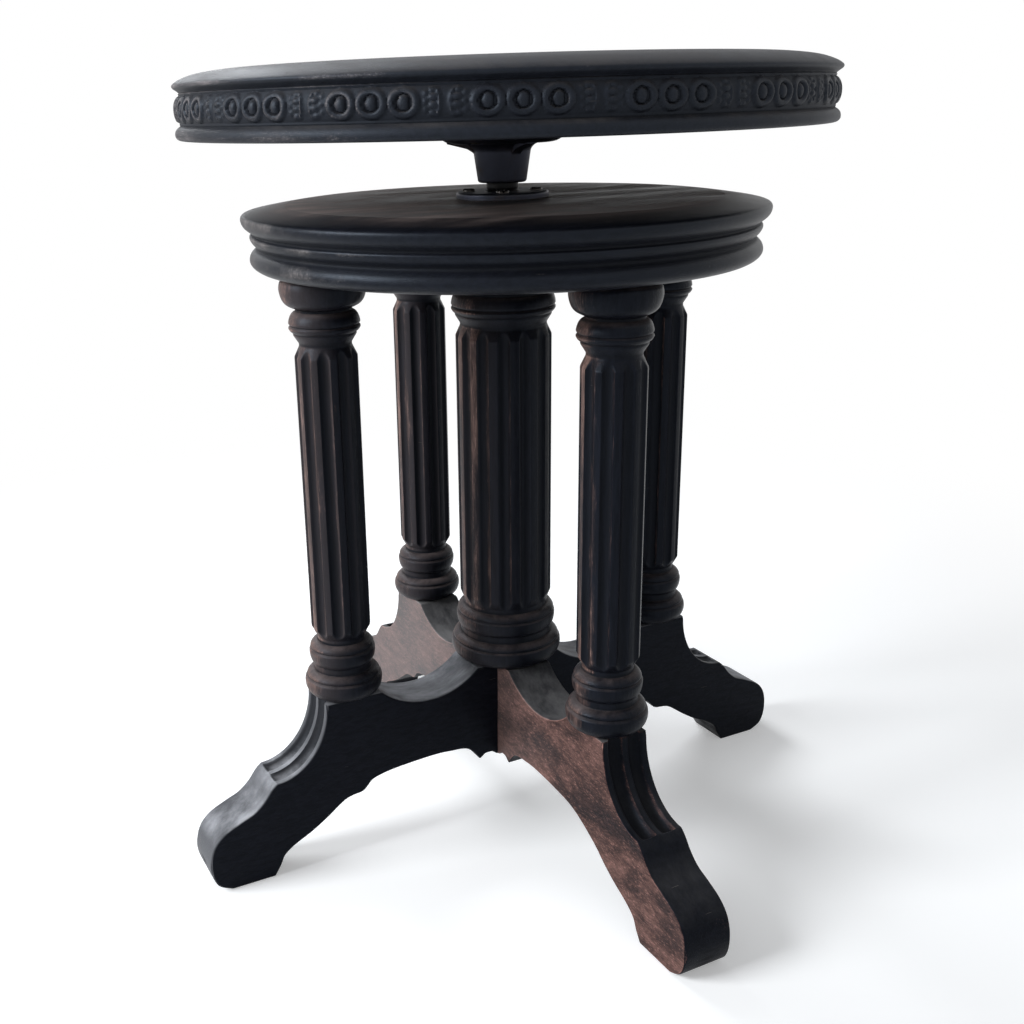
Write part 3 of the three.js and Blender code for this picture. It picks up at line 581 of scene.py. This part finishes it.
def fluting(size, turn, soft=0.22):
    """Flutes: the ray at angle d from a flute's middle meets the gouge's circle, of radius g
    round a point at c from the axis, at c cos d - sqrt(g^2 - (c sin d)^2). The column is the
    soft minimum of that and its outline, so the ridges have worn edges."""
    step = TURN / size["flutes"]
    c = size["shaft"] + size["gouge"] - size["depth"]
    low, high = BEAD_TOP + LOWER_WAIST / 2, COLLAR_BOTTOM - UPPER_WAIST / 2

    def shape(angle, r, z):
        d = (angle - turn + step) % step - step / 2
        inside = size["gouge"] ** 2 - (c * np.sin(d)) ** 2
        missed = 1.2 * c
        wall = np.where(inside > 0, c * np.cos(d) - np.sqrt(np.maximum(inside, 0)), missed)
        cut = -soft * np.logaddexp(-r / soft, -wall / soft)
        fluted = (z > low) & (z < high)
        ridge = step_up(wall - r, 0.1, 1.2) * fluted
        hollow = step_up(r - wall, 0.2, 1.6) * fluted
        return np.where(fluted, cut, r), z, 0.85 * ridge - 0.55 * hollow
    return shape


COLUMN_CIRCLE = 113
outer_rows = np.vstack([[(0, 0)], column_rows(OUTER), [(0, COLUMN_HEIGHT)]])
# Each outer column's flutes are turned as they stand in the photograph
for i, (corner, turn) in enumerate((
        ("back_right", 0), ("back_left", 0), ("front_left", 0.157), ("front_right", -0.142))):
    node = "outer_column_" + corner
    turned(node + "_fluted", outer_rows, OUTER["sides"], "base", column_wood,
           [node], fluting(OUTER, turn), on_circle(COLUMN_CIRCLE, i * TURN / 4), COLUMN_FOOT)

BORE, BORE_EASE, BORE_FLOOR = 14.3, 0.5, 115.0
centre_rows = np.vstack([
    [(0, 0)], column_rows(CENTRE), [(BORE + BORE_EASE, COLUMN_HEIGHT),
                                    (BORE, COLUMN_HEIGHT - BORE_EASE),
                                    (BORE, BORE_FLOOR), (0, BORE_FLOOR)]])
turned("centre_column_fluted", centre_rows, CENTRE["sides"], "base", column_wood,
       ["centre_column"], fluting(CENTRE, -0.065), height=COLUMN_FOOT)


# ---- Legs ----

# Heights over the floor, half the thickness, the radius of the rounded arrises, and distances
# from the middle. In the half lap, NOTCH is half its width and LAP_GAP half the gap.
PAD, UNDERSIDE = 105.0, 40.0
HALF = 15.0
ARRIS = 1.1
HUB_PAD, PAD_START, PAD_END = 29.0, 95.0, 131.0
SCOOP_DEPTH = 13.4
RISER_RUN, RISER_FALL = 34.0, 43.0
BOLT_RECESS, RECESS_DEPTH = 13.0, 9.0
NOTCH, LAP_GAP = 15.3, 0.15
ARCH_START, ARCH_HEIGHT = 28.0, 52.0
TIP, SOLE_START, SOLE_END = 208.9, 170.0, 197.0
GOUGE_RADIUS, GOUGE_AXIS, GOUGE_OFF_MIDDLE, RUN_OUT = 4.9, 1.5, 6.5, 0.92
LEG_SPACING = 1.1
# Shares of the run and of the height
TOE = [(0.09, 0.94), (0.2, 0.84), (0.35, 0.75), (0.55, 0.69), (0.78, 0.61),
       (0.93, 0.5), (1, 0.34), (0.99, 0.2), (0.91, 0.07)]
ARCH = [(0.06, 0.95), (0.15, 0.99), (0.24, 1), (0.4, 0.97), (0.53, 0.91),
        (0.67, 0.725), (0.75, 0.57), (0.82, 0.45), (0.9, 0.34), (0.95, 0.24), (0.97, 0.13)]
STEPPED_ARCH = ARCH[:3] + [(0.4, 0.975), (0.48, 0.945), (0.53, 0.905), (0.555, 0.84),
                           (0.58, 0.785), (0.63, 0.765)] + ARCH[5:]


def leg_lines(arch):
    """Upper and lower edge of one half of a board, from the middle to the toe's tip. The
    hollow between the pads is an arc, the riser a quarter of an ellipse, toe and arch are
    smooth curves through places given as shares."""
    half = (PAD_START - HUB_PAD) / 2
    arc = (half ** 2 + SCOOP_DEPTH ** 2) / (2 * SCOOP_DEPTH)
    a = np.linspace(-1, 1, 40) * math.asin(half / arc)
    scoop = np.column_stack([HUB_PAD + half + arc * np.sin(a),
                             PAD - SCOOP_DEPTH + arc - arc * np.cos(a)])
    t = np.linspace(0, math.pi / 2, 60)
    riser = np.column_stack([PAD_END + RISER_RUN * (1 - np.cos(t)), PAD - RISER_FALL * np.sin(t)])
    end, foot = PAD_END + RISER_RUN, PAD - RISER_FALL
    toe = [(end, foot)] + [(end + u * (TIP - end), v * foot) for u, v in TOE] + [(SOLE_END, 0)]
    toe = through(toe, 12)
    tip = int(toe[:, 0].argmax())
    upper = np.vstack([[(0, PAD), (HALF, PAD)], scoop, [(112, PAD)], riser, toe[1:tip + 1]])
    run = SOLE_START - ARCH_START
    arch = [(ARCH_START + u * run, v * ARCH_HEIGHT) for u, v in arch]
    under = through([(ARCH_START, UNDERSIDE)] + arch + [(SOLE_START, 0)], 10)
    bracket = [(0, UNDERSIDE), (HALF, UNDERSIDE), (19, UNDERSIDE + 3), (24, UNDERSIDE + 3)]
    lower = np.vstack([bracket, under, toe[:tip - 1:-1]])
    return spaced(upper, LEG_SPACING), spaced(lower, LEG_SPACING)


def half_board(arch, notch):
    """Upper and lower edge at the same distances x from the middle: their points, normals,
    masks, and the heights z -+ sqrt(R^2 - d^2), taken over all d within R of x, at which the
    side begins. The notch of the half lap is a step in one of them."""
    upper, lower = leg_lines(arch)
    x = np.unique(np.round(np.r_[upper[:, 0], lower[:, 0], NOTCH - 0.05, NOTCH + 0.05,
                                 BOLT_RECESS - 0.01, PAD_END + np.linspace(-1.3, 0.5, 10)], 3))
    x = x[np.r_[True, np.diff(x) > 0.02]]
    x[-1] = upper[-1, 0]
    d = np.linspace(-ARRIS, ARRIS, 23)
    edges = []
    for line, sign in ((upper, 1), (lower, -1)):
        z = np.interp(x, line[:, 0], line[:, 1])
        edge = np.column_stack([x, z])
        tangent = np.gradient(edge, axis=0)
        normal = np.column_stack([-tangent[:, 1], tangent[:, 0]]) * sign
        normal /= np.maximum(np.linalg.norm(normal, axis=1, keepdims=True), 1e-9)
        normal[-1] = (1, 0)
        rub, grime = edge_masks(edge[::-1] if sign > 0 else edge, 3)
        rub, grime = (rub[::-1], grime[::-1]) if sign > 0 else (rub, grime)
        near = np.interp(x[:, None] + d, line[:, 0], line[:, 1]) * sign
        side = (near - np.sqrt(ARRIS ** 2 - d ** 2)).min(1) * sign
        edges.append([x, z, normal, rub, grime, side])
    lap = (PAD + UNDERSIDE) / 2
    inside = x < NOTCH
    k, sign = (1, -1) if notch == "under" else (0, 1)
    edges[k][1][inside] = lap - LAP_GAP * sign
    edges[k][2][inside] = (0, sign)
    edges[k][5][inside] = lap - (LAP_GAP + ARRIS) * sign
    return edges


def gouge_depth(y, along):
    """Two round gouge cuts down the riser, one on each side of its middle: sqrt(R^2 - d^2)
    less the height of the gouge's axis. They run out in a scoop at the riser's foot."""
    d = np.abs(np.abs(y) - GOUGE_OFF_MIDDLE)
    depth = np.sqrt(np.maximum(GOUGE_RADIUS ** 2 - d ** 2, 0)) - GOUGE_AXIS
    end = np.sqrt(1 - np.clip((along - RUN_OUT) / (1 - RUN_OUT), 0, 1) ** 2)
    return np.maximum(depth, 0) * end * (along <= 1)


def board(name, notch, front, back, along_y, material):
    """Leg board: each row is a loop round the board's section, rounded at its four arrises,
    and the rows run from one toe to the other. At both tips a row closes to a line."""
    flat = HALF - ARRIS
    # Points across the top, round a quarter of an arris, and down a side as shares of it
    y_top = np.linspace(-flat, flat, 49)
    bend = np.linspace(0, math.pi / 2, 6)[1:]
    out, away = np.sin(bend), 1 - np.cos(bend)
    down = np.array([0.02, 0.2, 0.5, 0.8, 0.98])
    parts = []
    for arch, direction in ((back, -1), (front, 1)):
        (x, z_up, n_up, rub_up, dirt_up, side_up), (_, z_low, _, rub_low, dirt_low, side_low) = (
            half_board(arch, notch))
        n = len(x)
        over = np.clip(side_low - side_up, 0, 2 * ARRIS)
        middle = (side_up + side_low) / 2
        side_up = np.where(over > 0, middle, side_up)
        side_low = np.where(over > 0, middle, side_low)
        wide = flat + ARRIS * np.sqrt(1 - (over / (2 * ARRIS)) ** 2)
        along = np.where(x >= PAD_END, np.arccos(np.clip(1 - (x - PAD_END) / RISER_RUN, -1, 1))
                         / (math.pi / 2), -1)
        along[x > PAD_END + RISER_RUN] = 2
        loop = []

        def add(px, py, pz, rub, grime):
            loop.append(np.stack([a + np.zeros(np.broadcast(px, py, pz, rub, grime).shape)
                                  for a in (px, py, pz, rub, grime)], -1))

        def arris(z, side, share, inwards, hand, grime):
            add(x[:, None], hand * (flat + (wide - flat)[:, None] * share),
                z[:, None] + (side - z)[:, None] * inwards, 0.3 + 0.7 * np.sin(2 * bend)[None],
                grime)

        # Upper face with the gouge cuts, which also notch the pad's end
        cut = np.where(along[:, None] >= 0, gouge_depth(y_top[None], along[:, None]), 0)
        start = gouge_depth(y_top[None], np.zeros((n, 1)))
        pad = ((x < PAD_END) & (x > PAD_START))[:, None]
        px = x[:, None] - n_up[:, :1] * cut
        px = np.where(pad, np.minimum(px, PAD_END - start), px)
        add(px, y_top[None], z_up[:, None] - n_up[:, 1:] * cut,
            np.clip(rub_up[:, None] * 0.8 - cut * 0.2, 0, 1),
            np.clip(dirt_up[:, None] + cut * 0.25, 0, 1))
        # Down one side, across the lower face with the bolt's recess, and up the other side
        arris(z_up, side_up, out, away, 1, dirt_up[:, None] * 0.5)
        flank = side_up[:, None] * (1 - down) + side_low[:, None] * down
        add(x[:, None], wide[:, None], flank, 0.4, 0.0)
        arris(z_low, side_low, out[::-1], away[::-1], 1, 0.0)
        hole = np.sqrt(np.maximum(BOLT_RECESS ** 2 - x ** 2, 0)) if notch == "over" else 0 * x
        across = np.stack([0 * x + flat, (flat + hole) / 2, hole, hole * 0.999, hole / 2], -1)
        across = np.concatenate([across, 0 * x[:, None], -across[:, ::-1]], 1)
        sunk = np.zeros(11)
        sunk[3:8] = RECESS_DEPTH
        add(x[:, None], across, z_low[:, None] + sunk[None] * (hole > 0)[:, None],
            rub_low[:, None] * 0.5, np.maximum(dirt_low[:, None], sunk[None] / 10))
        arris(z_low, side_low, out, away, -1, 0.0)
        add(x[:, None], -wide[:, None], flank[:, ::-1], 0.4, 0.0)
        arris(z_up, side_up, out[::-1], away[::-1], -1, dirt_up[:, None] * 0.5)
        half = np.concatenate(loop, 1)
        half[..., 0] *= direction
        parts.append(half[::-1] if direction < 0 else half[1:])
    grid = np.concatenate(parts, 0)
    place, rub, grime = grid[..., :3], grid[..., 3], grid[..., 4]
    if along_y:
        place = np.stack([-place[..., 1], place[..., 0], place[..., 2]], -1)
    make_piece(name + "_carved", place, "base", material, [name], rub, grime)


board("leg_board_upper", "under", STEPPED_ARCH, STEPPED_ARCH, False, leg_along_x)
board("leg_board_lower", "over", STEPPED_ARCH, ARCH, True, leg_along_y)


# ---- Platform ----

LIP_HEIGHT, LIP_TO_TOP = 28.8, 6.0
PLATFORM_TOP = LIP_HEIGHT + LIP_TO_TOP
HOLE, HOLE_EASE = 13.8, 0.5


def platform_outline():
    """Foot torus, groove, bead, groove, lip with a round nose over a hollow, and a border
    that rises to the flat top, from the hole in the underside out and up. Radii with heights
    over the lip's widest line."""
    side = [(134.5, -28.8), (139.6, -28.1), (143, -26.4), (144.9, -24.2), (145.2, -22),
            (144.5, -19.8), (143, -18), (141.5, -16.8), (141, -15.9), (141.7, -14.8),
            (143.2, -13.1), (144.3, -11.3), (144.6, -10), (144.3, -9.1), (143.3, -8.4),
            (143.3, -7.7), (144.2, -6.8), (146, -5.5), (147.6, -4), (148.6, -2.3), (149, -0.6),
            (148.9, 0.7), (148.3, 1.7), (147.2, 2.35), (145.4, 2.8), (142, 3.4), (137, 4.2),
            (131, 5.1), (124.4, 5.95), (123.9, LIP_TO_TOP)]
    side = [(r, z + LIP_HEIGHT) for r, z in side]
    under = [(HOLE, 0.0), (30, 0), (90, 0), (130, 0)]
    top = [(r, PLATFORM_TOP) for r in (110, 60, 30, HOLE + HOLE_EASE)]
    return under + through(side, 6).tolist() + top + [(HOLE, PLATFORM_TOP - HOLE_EASE)]


def fine_outline(outline, spacing, first, last):
    """An outline whose run from first to last radius is closely spaced, the rest as it is."""
    p = np.asarray(outline, float)
    near = np.flatnonzero((p[:, 0] > first) & (p[:, 0] < last))
    a, b = near[0], near[-1]
    return np.vstack([p[:a], spaced(p[a:b + 1], spacing), p[b + 1:]])


ROUND_SIDES = 384
turned("platform_moulded", fine_outline(platform_outline(), 0.6, 133, 150), ROUND_SIDES, "base",
       platform_wood, ["platform"], height=PLATFORM_BOTTOM, shut=True)


# ---- Seat ----

TOP_BOARD, RIM_BOARD = 11, 24


def board_outline(side, height):
    """From the middle of a round board's underside, round its side, to the middle of its top."""
    return ([(0, 0), (60, 0), (120, 0)] + through(side, 6).tolist()
            + [(120, height), (60, height), (0, height)])


def seat_top_outline():
    """Flat top whose border falls off in a soft curve to a thin nose over a cove."""
    edge = [(172, 0), (176.3, 0), (176.8, 0.4), (178, 1.3), (179.2, 2.1), (179.85, 2.9),
            (179.9, 3.7), (179.4, 4.4), (178.2, 5.3), (176.2, 6.4), (173, 7.7), (169, 8.9),
            (163.5, 9.9), (156, 10.7), (148, TOP_BOARD)]
    return board_outline(edge, TOP_BOARD)


turned("seat_top", fine_outline(seat_top_outline(), 0.5, 158, 181), ROUND_SIDES, "seat",
       seat_wood, ["seat_top_board"], height=SEAT_JOINT)

GROUPS = 17
GROUP_MIDDLE = math.radians(200.6)
BAND_RADIUS, BAND_MIDDLE, BAND_SUNK, DUG_DEPTH = 179.0, 15.9, 0.75, 0.5
CARVED_SIDES = 1360
# Coins: places in their group, half width and height, relief; their bosses likewise
COINS, COIN, COIN_RELIEF = (-14.9, 0.0, 14.9), (7.4, 6.75), 1.2
BOSS, BOSS_RELIEF = (2.6, 3.3), 1.15
RING_MIDDLE, RING_HALF = 0.775, 0.225
SPINE_OFF_GAP, SPINE_BEND, SPINE_WIDTH, SPINE_RELIEF = 2.2, 0.05, 0.75, 0.85
# Lobes of a leaf: distance from the middle of the gap, height, half width, half height, relief
LOBES = [(5.6, 5.2, 1.6, 1.25, 0.75), (5.0, 2.1, 2.3, 1.4, 1.0), (5.0, -1.3, 2.3, 1.4, 1.0),
         (5.5, -4.7, 1.7, 1.35, 0.8), (8.6, 3.7, 1.1, 1.3, 0.55), (8.5, 0.3, 1.2, 1.2, 0.6),
         (8.6, -3.3, 1.1, 1.3, 0.55)]


def carving(angle, r, z):
    """The carved band, laid out along the rim in groups: three coins, each a round ring of
    half-round section about a tall boss, then two leaves back to back, each a curved spine
    with lobes. Everything is a height over the plain band."""
    step = TURN / GROUPS
    u = ((angle - GROUP_MIDDLE + step / 2) % step - step / 2) * BAND_RADIUS
    v = z - BAND_MIDDLE
    band = step_up(v, -8.0, -6.9) * (1 - step_up(v, 6.6, 7.4)) * (r > 174)
    high = np.zeros(np.broadcast(u, v).shape)
    dug = np.zeros(high.shape)
    for middle in COINS:
        far = np.hypot((u - middle) / COIN[0], v / COIN[1])
        ring = np.sqrt(np.maximum(1 - np.abs((far - RING_MIDDLE) / RING_HALF) ** 2.6, 0))
        boss = np.sqrt(np.maximum(1 - ((u - middle) / BOSS[0]) ** 2 - (v / BOSS[1]) ** 2, 0))
        high = np.maximum(high, np.maximum(COIN_RELIEF * ring, BOSS_RELIEF * boss))
        dug = np.maximum(dug, 1 - step_up(far, 0.5, 0.66))
    gap = TURN * BAND_RADIUS / GROUPS / 2
    w = gap - np.abs(u)
    spine = np.exp(-((w - SPINE_OFF_GAP - SPINE_BEND * v ** 2) / SPINE_WIDTH) ** 2)
    high = np.maximum(high, SPINE_RELIEF * spine * (1 - step_up(np.abs(v), 5.2, 6.4)))
    for at, up, wide, tall, relief in LOBES:
        lobe = ((w - at) / wide) ** 2 + ((v - up) / tall) ** 2
        high = np.maximum(high, relief * np.sqrt(np.maximum(1 - lobe, 0)))
    high = high * band
    return (r - (BAND_SUNK + DUG_DEPTH * dug * (high < 0.05)) * band + high, z,
            0.6 * high - 0.35 * band * (high < 0.15))


def rim_outline():
    """Bead, V-shaped groove, swelling band and cove under the top board, from the
    underside up."""
    side = [(172, 0), (176.4, 0), (178.6, 0.5), (179.8, 1.8), (180, 3.4), (179.6, 5),
            (178.6, 6.3), (177.4, 7.1), (176.9, 7.5), (177.2, 8), (178.1, 9.3), (178.8, 11.2),
            (179.3, 13.4), (179.4, 15.8), (179.2, 18), (178.6, 20), (177.7, 21.7), (176.9, 22.9),
            (176.3, RIM_BOARD), (172, RIM_BOARD)]
    return board_outline(side, RIM_BOARD)


turned("seat_rim_carved", fine_outline(rim_outline(), 0.55, 173, 181), CARVED_SIDES, "seat",
       seat_wood, ["seat_rim_board"], carving, height=SEAT_BOTTOM)


# ---- Ironwork ----

SPINDLE_BORE = 9.3
CASTING_HEIGHT, FLANGE_BOTTOM = 28.2, 27.0
RIBS, RIB_TURN, RIB_HALF = 3, 2.627, 3
# How far from the axis a rib reaches at each height over the hub's bottom
RIB_HEIGHTS, RIB_REACH = [15.8, 16.2, 18.5, 21.4, 27.0], [0, 16, 19.8, 31, 31]
FLANGE_SCREW_CIRCLE, POCKET, POCKET_END = 27, 4.7, 24.6
NUT_SCREWS, NUT_SCREW_TURN, NUT_SCREW_CIRCLE = 4, -0.515, 19
SINKING, SINKING_BOTTOM = 3.9, 2.5


def casting_shape(angle, r, z, soft=0.5):
    """Ribs: seen from above a rib is a bar of half width h, whose ray meets it at h / sin d,
    so the radius is the soft maximum of the hub's and the smaller of the rib's reach and
    that. Pockets for the screws are pressed up into the flange, half way between the ribs."""
    step = TURN / RIBS
    d = np.abs((angle - RIB_TURN + step / 2) % step - step / 2)
    reach = np.interp(z, RIB_HEIGHTS, RIB_REACH)
    bar = np.minimum(reach, RIB_HALF / np.maximum(np.sin(np.minimum(d, math.pi / 2)), 1e-3))
    outside = (z > 15.5) & (z < FLANGE_BOTTOM) & (r > 10)
    joined = soft * np.logaddexp(r / soft, bar / soft)
    away = np.abs((angle - RIB_TURN) % step - step / 2)
    near = np.hypot(r * np.cos(away) - FLANGE_SCREW_CIRCLE, r * np.sin(away)) < POCKET
    z = np.where(near & (z > 14) & (z < FLANGE_BOTTOM - 0.2), np.maximum(z, POCKET_END), z)
    return np.where(outside & ~near, np.maximum(joined, r), r), z, 0.0


def casting_outline():
    """Tapered hub that flares in two steps to the flange, hollow for the spindle."""
    outline = [(SPINDLE_BORE, 0.0), (12.3, 0.0)]
    bulge(outline, 13.9, 1.6, "out", 5)
    outline.append((16, 16))
    bulge(outline, 22.5, 21.4, "up", 7)
    outline.append((26.5, 21.4))
    bulge(outline, 35.5, FLANGE_BOTTOM, "out", 10)
    outline += [(35.5, CASTING_HEIGHT), (SPINDLE_BORE, CASTING_HEIGHT), (SPINDLE_BORE, 0.0)]
    return outline


turned("seat_casting_ribbed", spaced(eased(casting_outline(), 0.4), 0.55)[:-1], 432, "seat",
       cast_iron, ["seat_casting"], casting_shape, height=CASTING_BOTTOM, reach=2,
       shut=True)


SPINDLE, SPINDLE_END, SPINDLE_SPIGOT, SPINDLE_EASE = 9.0, 8.4, 5.0, 0.6
SPINDLE_BOTTOM, SHOULDER, SPINDLE_TOP = 235.7, 239.3, 424.1
THREAD_RUN_IN = 3


def thread(pitch, depth, low, high):
    """Right-hand thread: the radius falls by `depth` where z / pitch - a / 2 pi is in the
    groove's share of a turn, with sloping flanks, and less where the thread runs in."""
    def shape(angle, r, z):
        phase = (z / pitch - angle / TURN) % 1
        groove = step_up(np.abs(phase - 0.5), 0.12, 0.27)
        inside = (step_up(z, low, low + THREAD_RUN_IN)
                  * (1 - step_up(z, high - THREAD_RUN_IN, high)))
        cut = np.where(r > SPINDLE_SPIGOT + 1, r - depth * groove * inside, r)
        return cut, z, (1 - groove) * inside * 0.5
    return shape


spindle_heights = np.linspace(SHOULDER + SPINDLE_EASE, SPINDLE_TOP - SPINDLE_EASE, 470)
spindle_rows = np.vstack([
    [(0, SPINDLE_BOTTOM), (SPINDLE_SPIGOT - 0.4, SPINDLE_BOTTOM),
     (SPINDLE_SPIGOT, SPINDLE_BOTTOM + 0.4), (SPINDLE_SPIGOT, SHOULDER), (SPINDLE_END, SHOULDER)],
    np.column_stack([np.full(len(spindle_heights), SPINDLE), spindle_heights]),
    [(SPINDLE_END, SPINDLE_TOP), (0, SPINDLE_TOP)]])
turned("spindle_threaded", spindle_rows, 64, "seat", spindle_iron, ["spindle"],
       thread(5, 1.3, 240, 394), reach=1.2)


def nut_shape(angle, r, z):
    """Round sinkings for the screw heads, pressed down into the plate."""
    deep = np.zeros(np.broadcast(angle, r).shape, bool)
    for i in range(NUT_SCREWS):
        x, y = on_circle(NUT_SCREW_CIRCLE, NUT_SCREW_TURN + i * TURN / NUT_SCREWS)
        deep |= np.hypot(r * np.cos(angle) - x, r * np.sin(angle) - y) < SINKING
    return r, np.where(deep & (z > 3.2), SINKING_BOTTOM, z), 0.0


# Sleeve in the middle column, plate with an eased rim and an eased bore
nut_outline = [(SPINDLE_BORE, -38), (13.5, -38), (13.5, -0.05), (26.2, 0), (26.2, 2.9),
               (25.2, 3.9), (9.9, 3.9), (SPINDLE_BORE, 3.3), (SPINDLE_BORE, -38)]
turned("nut_plate_turned", spaced(eased(nut_outline, 0.4), 0.5)[:-1], 256, "base",
       cast_iron, ["nut_plate"], nut_shape, height=PLATE_BOTTOM, reach=2, shut=True)


def slotted_screw(name, body, place, height, size, over=False, angle=0.4):
    """Screw with a flat head and a slot: head height h (1 - (r / R)^8)^(1/4), less where the
    distance from the slot's line is under half its width. The size is the head's radius and
    height, and the shank's radius and length."""
    head, tall, shank, length = size
    r = np.r_[np.linspace(0, 0.8, 14), 0.88, 0.93, 0.97, 0.99, 1]
    dome = [(head * k, tall * (1 - k ** 8) ** 0.25) for k in r[::-1]]
    outline = np.array([(0, -length), (shank * 0.5, -length + shank * 0.5),
                        (shank, -length * 0.5), (shank, -0.02), (head, 0)] + dome)

    def slot(a, r, z):
        across, bottom = np.abs(r * np.sin(a - angle)), tall * 0.45
        cut = (across < head * 0.13) & (z > bottom)
        return r, np.where(cut, bottom, z), 0.5 * (z > 0)
    turned(name + "_slotted", outline, 48, body, screw_iron, [name], slot, place,
           height, over, 1)


HEAD_CLEAR = 0.3
for i in range(NUT_SCREWS):
    slotted_screw("nut_screw_%d" % (i + 1), "base",
                  on_circle(NUT_SCREW_CIRCLE, NUT_SCREW_TURN + i * TURN / NUT_SCREWS),
                  PLATE_BOTTOM + SINKING_BOTTOM + HEAD_CLEAR, (3.6, 2.6, 2.2, 15.4),
                  angle=0.5 + 1.3 * i)
for i in range(RIBS):
    slotted_screw("flange_screw_%d" % (i + 1), "seat",
                  on_circle(FLANGE_SCREW_CIRCLE, RIB_TURN + (i + 0.5) * TURN / RIBS),
                  CASTING_BOTTOM + POCKET_END - HEAD_CLEAR, (4.4, 2.6, 2.4, 17.4), True, 0.8 * i)
slotted_screw("spindle_end_screw", "seat", (0, 0), SPINDLE_BOTTOM - 0.1, (7.5, 3, 2.5, 12), True)

# Iron that keeps its solid's shape
for node, finish in (("hub_pin", screw_iron), ("stop_washer", cast_iron),
                     ("centre_bolt", cast_iron), ("centre_bolt_washer", cast_iron)):
    nodes[node].data.materials.clear()
    nodes[node].data.materials.append(finish)


# ---- Floor, light and camera ----

def seen_directly(tree):
    """1 for rays from the camera, in a gloss or through glass, and 0 for light on surfaces."""
    path = put(tree, "ShaderNodeLightPath").outputs
    return maths(tree, "ADD", path["Is Camera Ray"],
                 maths(tree, "ADD", path["Is Glossy Ray"], path["Is Transmission Ray"]),
                 clamp=True)


def make_floor():
    """A flat pale floor that keeps the stool's shadow and is white further out."""
    mesh = bpy.data.meshes.new("floor")
    side = 9.0
    mesh.from_pydata([(-side, -side, 0), (side, -side, 0), (side, side, 0), (-side, side, 0)],
                     [], [(0, 1, 2, 3)])
    floor = bpy.data.objects.new("floor", mesh)
    bpy.context.scene.collection.objects.link(floor)
    material = bpy.data.materials.new("pale_floor")
    material.use_nodes = True
    tree = material.node_tree
    tree.nodes.clear()
    far = put(tree, "ShaderNodeVectorMath", {0: own_place(tree)},
              operation="LENGTH").outputs["Value"]
    seen = seen_directly(tree)
    grey = put(tree, "ShaderNodeBsdfDiffuse", {"Color": (0.86, 0.86, 0.86, 1)}).outputs[0]
    lift = put(tree, "ShaderNodeEmission", {
        "Color": (1, 1, 1, 1), "Strength": times(tree, seen, 0.3)}).outputs[0]
    near = put(tree, "ShaderNodeAddShader", {0: grey, 1: lift}).outputs[0]
    white = put(tree, "ShaderNodeEmission", {"Color": (1, 1, 1, 1)}).outputs[0]
    share = times(tree, seen, ramp(tree, far, 0.3, 0.95))
    mixed = put(tree, "ShaderNodeMixShader", {0: share, 1: near, 2: white}).outputs[0]
    put(tree, "ShaderNodeOutputMaterial", {"Surface": mixed})
    mesh.materials.append(material)


MIDDLE_HEIGHT = 0.25


def soft_light(name, azimuth, elevation, distance, size, power, colour=(1, 1, 1)):
    """A square soft light that faces the stool's middle, in degrees, metres and watts."""
    a, e = math.radians(azimuth), math.radians(elevation)
    aim = Vector((0, 0, MIDDLE_HEIGHT))
    away = Vector((math.cos(a) * math.cos(e), math.sin(a) * math.cos(e), math.sin(e)))
    lamp = bpy.data.lights.new(name, "AREA")
    lamp.size = size
    lamp.energy = power
    lamp.color = colour
    light = bpy.data.objects.new(name, lamp)
    light.location = aim + away * distance
    light.rotation_mode = "QUATERNION"
    light.rotation_quaternion = away.to_track_quat("Z", "Y")
    bpy.context.scene.collection.objects.link(light)


def make_world():
    """White to the eye, and a dim cool room to the stool."""
    world = bpy.data.worlds.new("studio")
    bpy.context.scene.world = world
    world.use_nodes = True
    tree = world.node_tree
    tree.nodes.clear()
    seen = seen_directly(tree)
    room = put(tree, "ShaderNodeBackground", {"Color": (0.93, 0.96, 1, 1), "Strength": 0.26})
    white = put(tree, "ShaderNodeBackground", {"Color": (1, 1, 1, 1), "Strength": 1.0})
    mixed = put(tree, "ShaderNodeMixShader",
                {0: seen, 1: room.outputs[0], 2: white.outputs[0]}).outputs[0]
    put(tree, "ShaderNodeOutputWorld", {"Surface": mixed})


def make_camera():
    """The photograph's camera, as fitted to the stool: yaw, pitch and roll in radians about
    its place, which lies `away` and `above` in units of 1.02857 mm, all turned about the
    stool's axis."""
    yaw, pitch, roll = -0.0719345, 0.3296596, 0.0308861
    away, above, unit = 695.684, 428.4, 1.02857
    turn = Matrix.Rotation(-0.523311, 3, "Z")
    ahead = Vector((math.sin(yaw) * math.cos(pitch), math.cos(yaw) * math.cos(pitch),
                    -math.sin(pitch)))
    right = Vector((math.cos(yaw), -math.sin(yaw), 0))
    down = ahead.cross(right)
    x = math.cos(roll) * right + math.sin(roll) * down
    y = math.sin(roll) * right - math.cos(roll) * down
    place = turn @ Vector((0, -away, 0)) * unit + Vector((0, 0, above * unit))
    lens = bpy.data.cameras.new("camera")
    lens.sensor_width = 36
    lens.lens = 42.655
    lens.shift_x = 0.0878
    lens.shift_y = 0.0057
    lens.clip_start, lens.clip_end = 0.01, 50
    camera = bpy.data.objects.new("camera", lens)
    rotation = Matrix((turn @ x, turn @ y, turn @ -ahead)).transposed()
    camera.matrix_world = Matrix.Translation(place * MM) @ rotation.to_4x4()
    bpy.context.scene.collection.objects.link(camera)
    bpy.context.scene.camera = camera


make_floor()
make_world()
DAYLIGHT = (0.94, 0.97, 1)
soft_light("window", 172, 26, distance=1.8, size=0.8, power=40, colour=DAYLIGHT)
soft_light("back", 96, 40, distance=1.9, size=0.8, power=20, colour=DAYLIGHT)
soft_light("front", 285, 35, distance=2.4, size=1.8, power=3.5)
make_camera()
bpy.context.scene.view_settings.view_transform = "Standard"
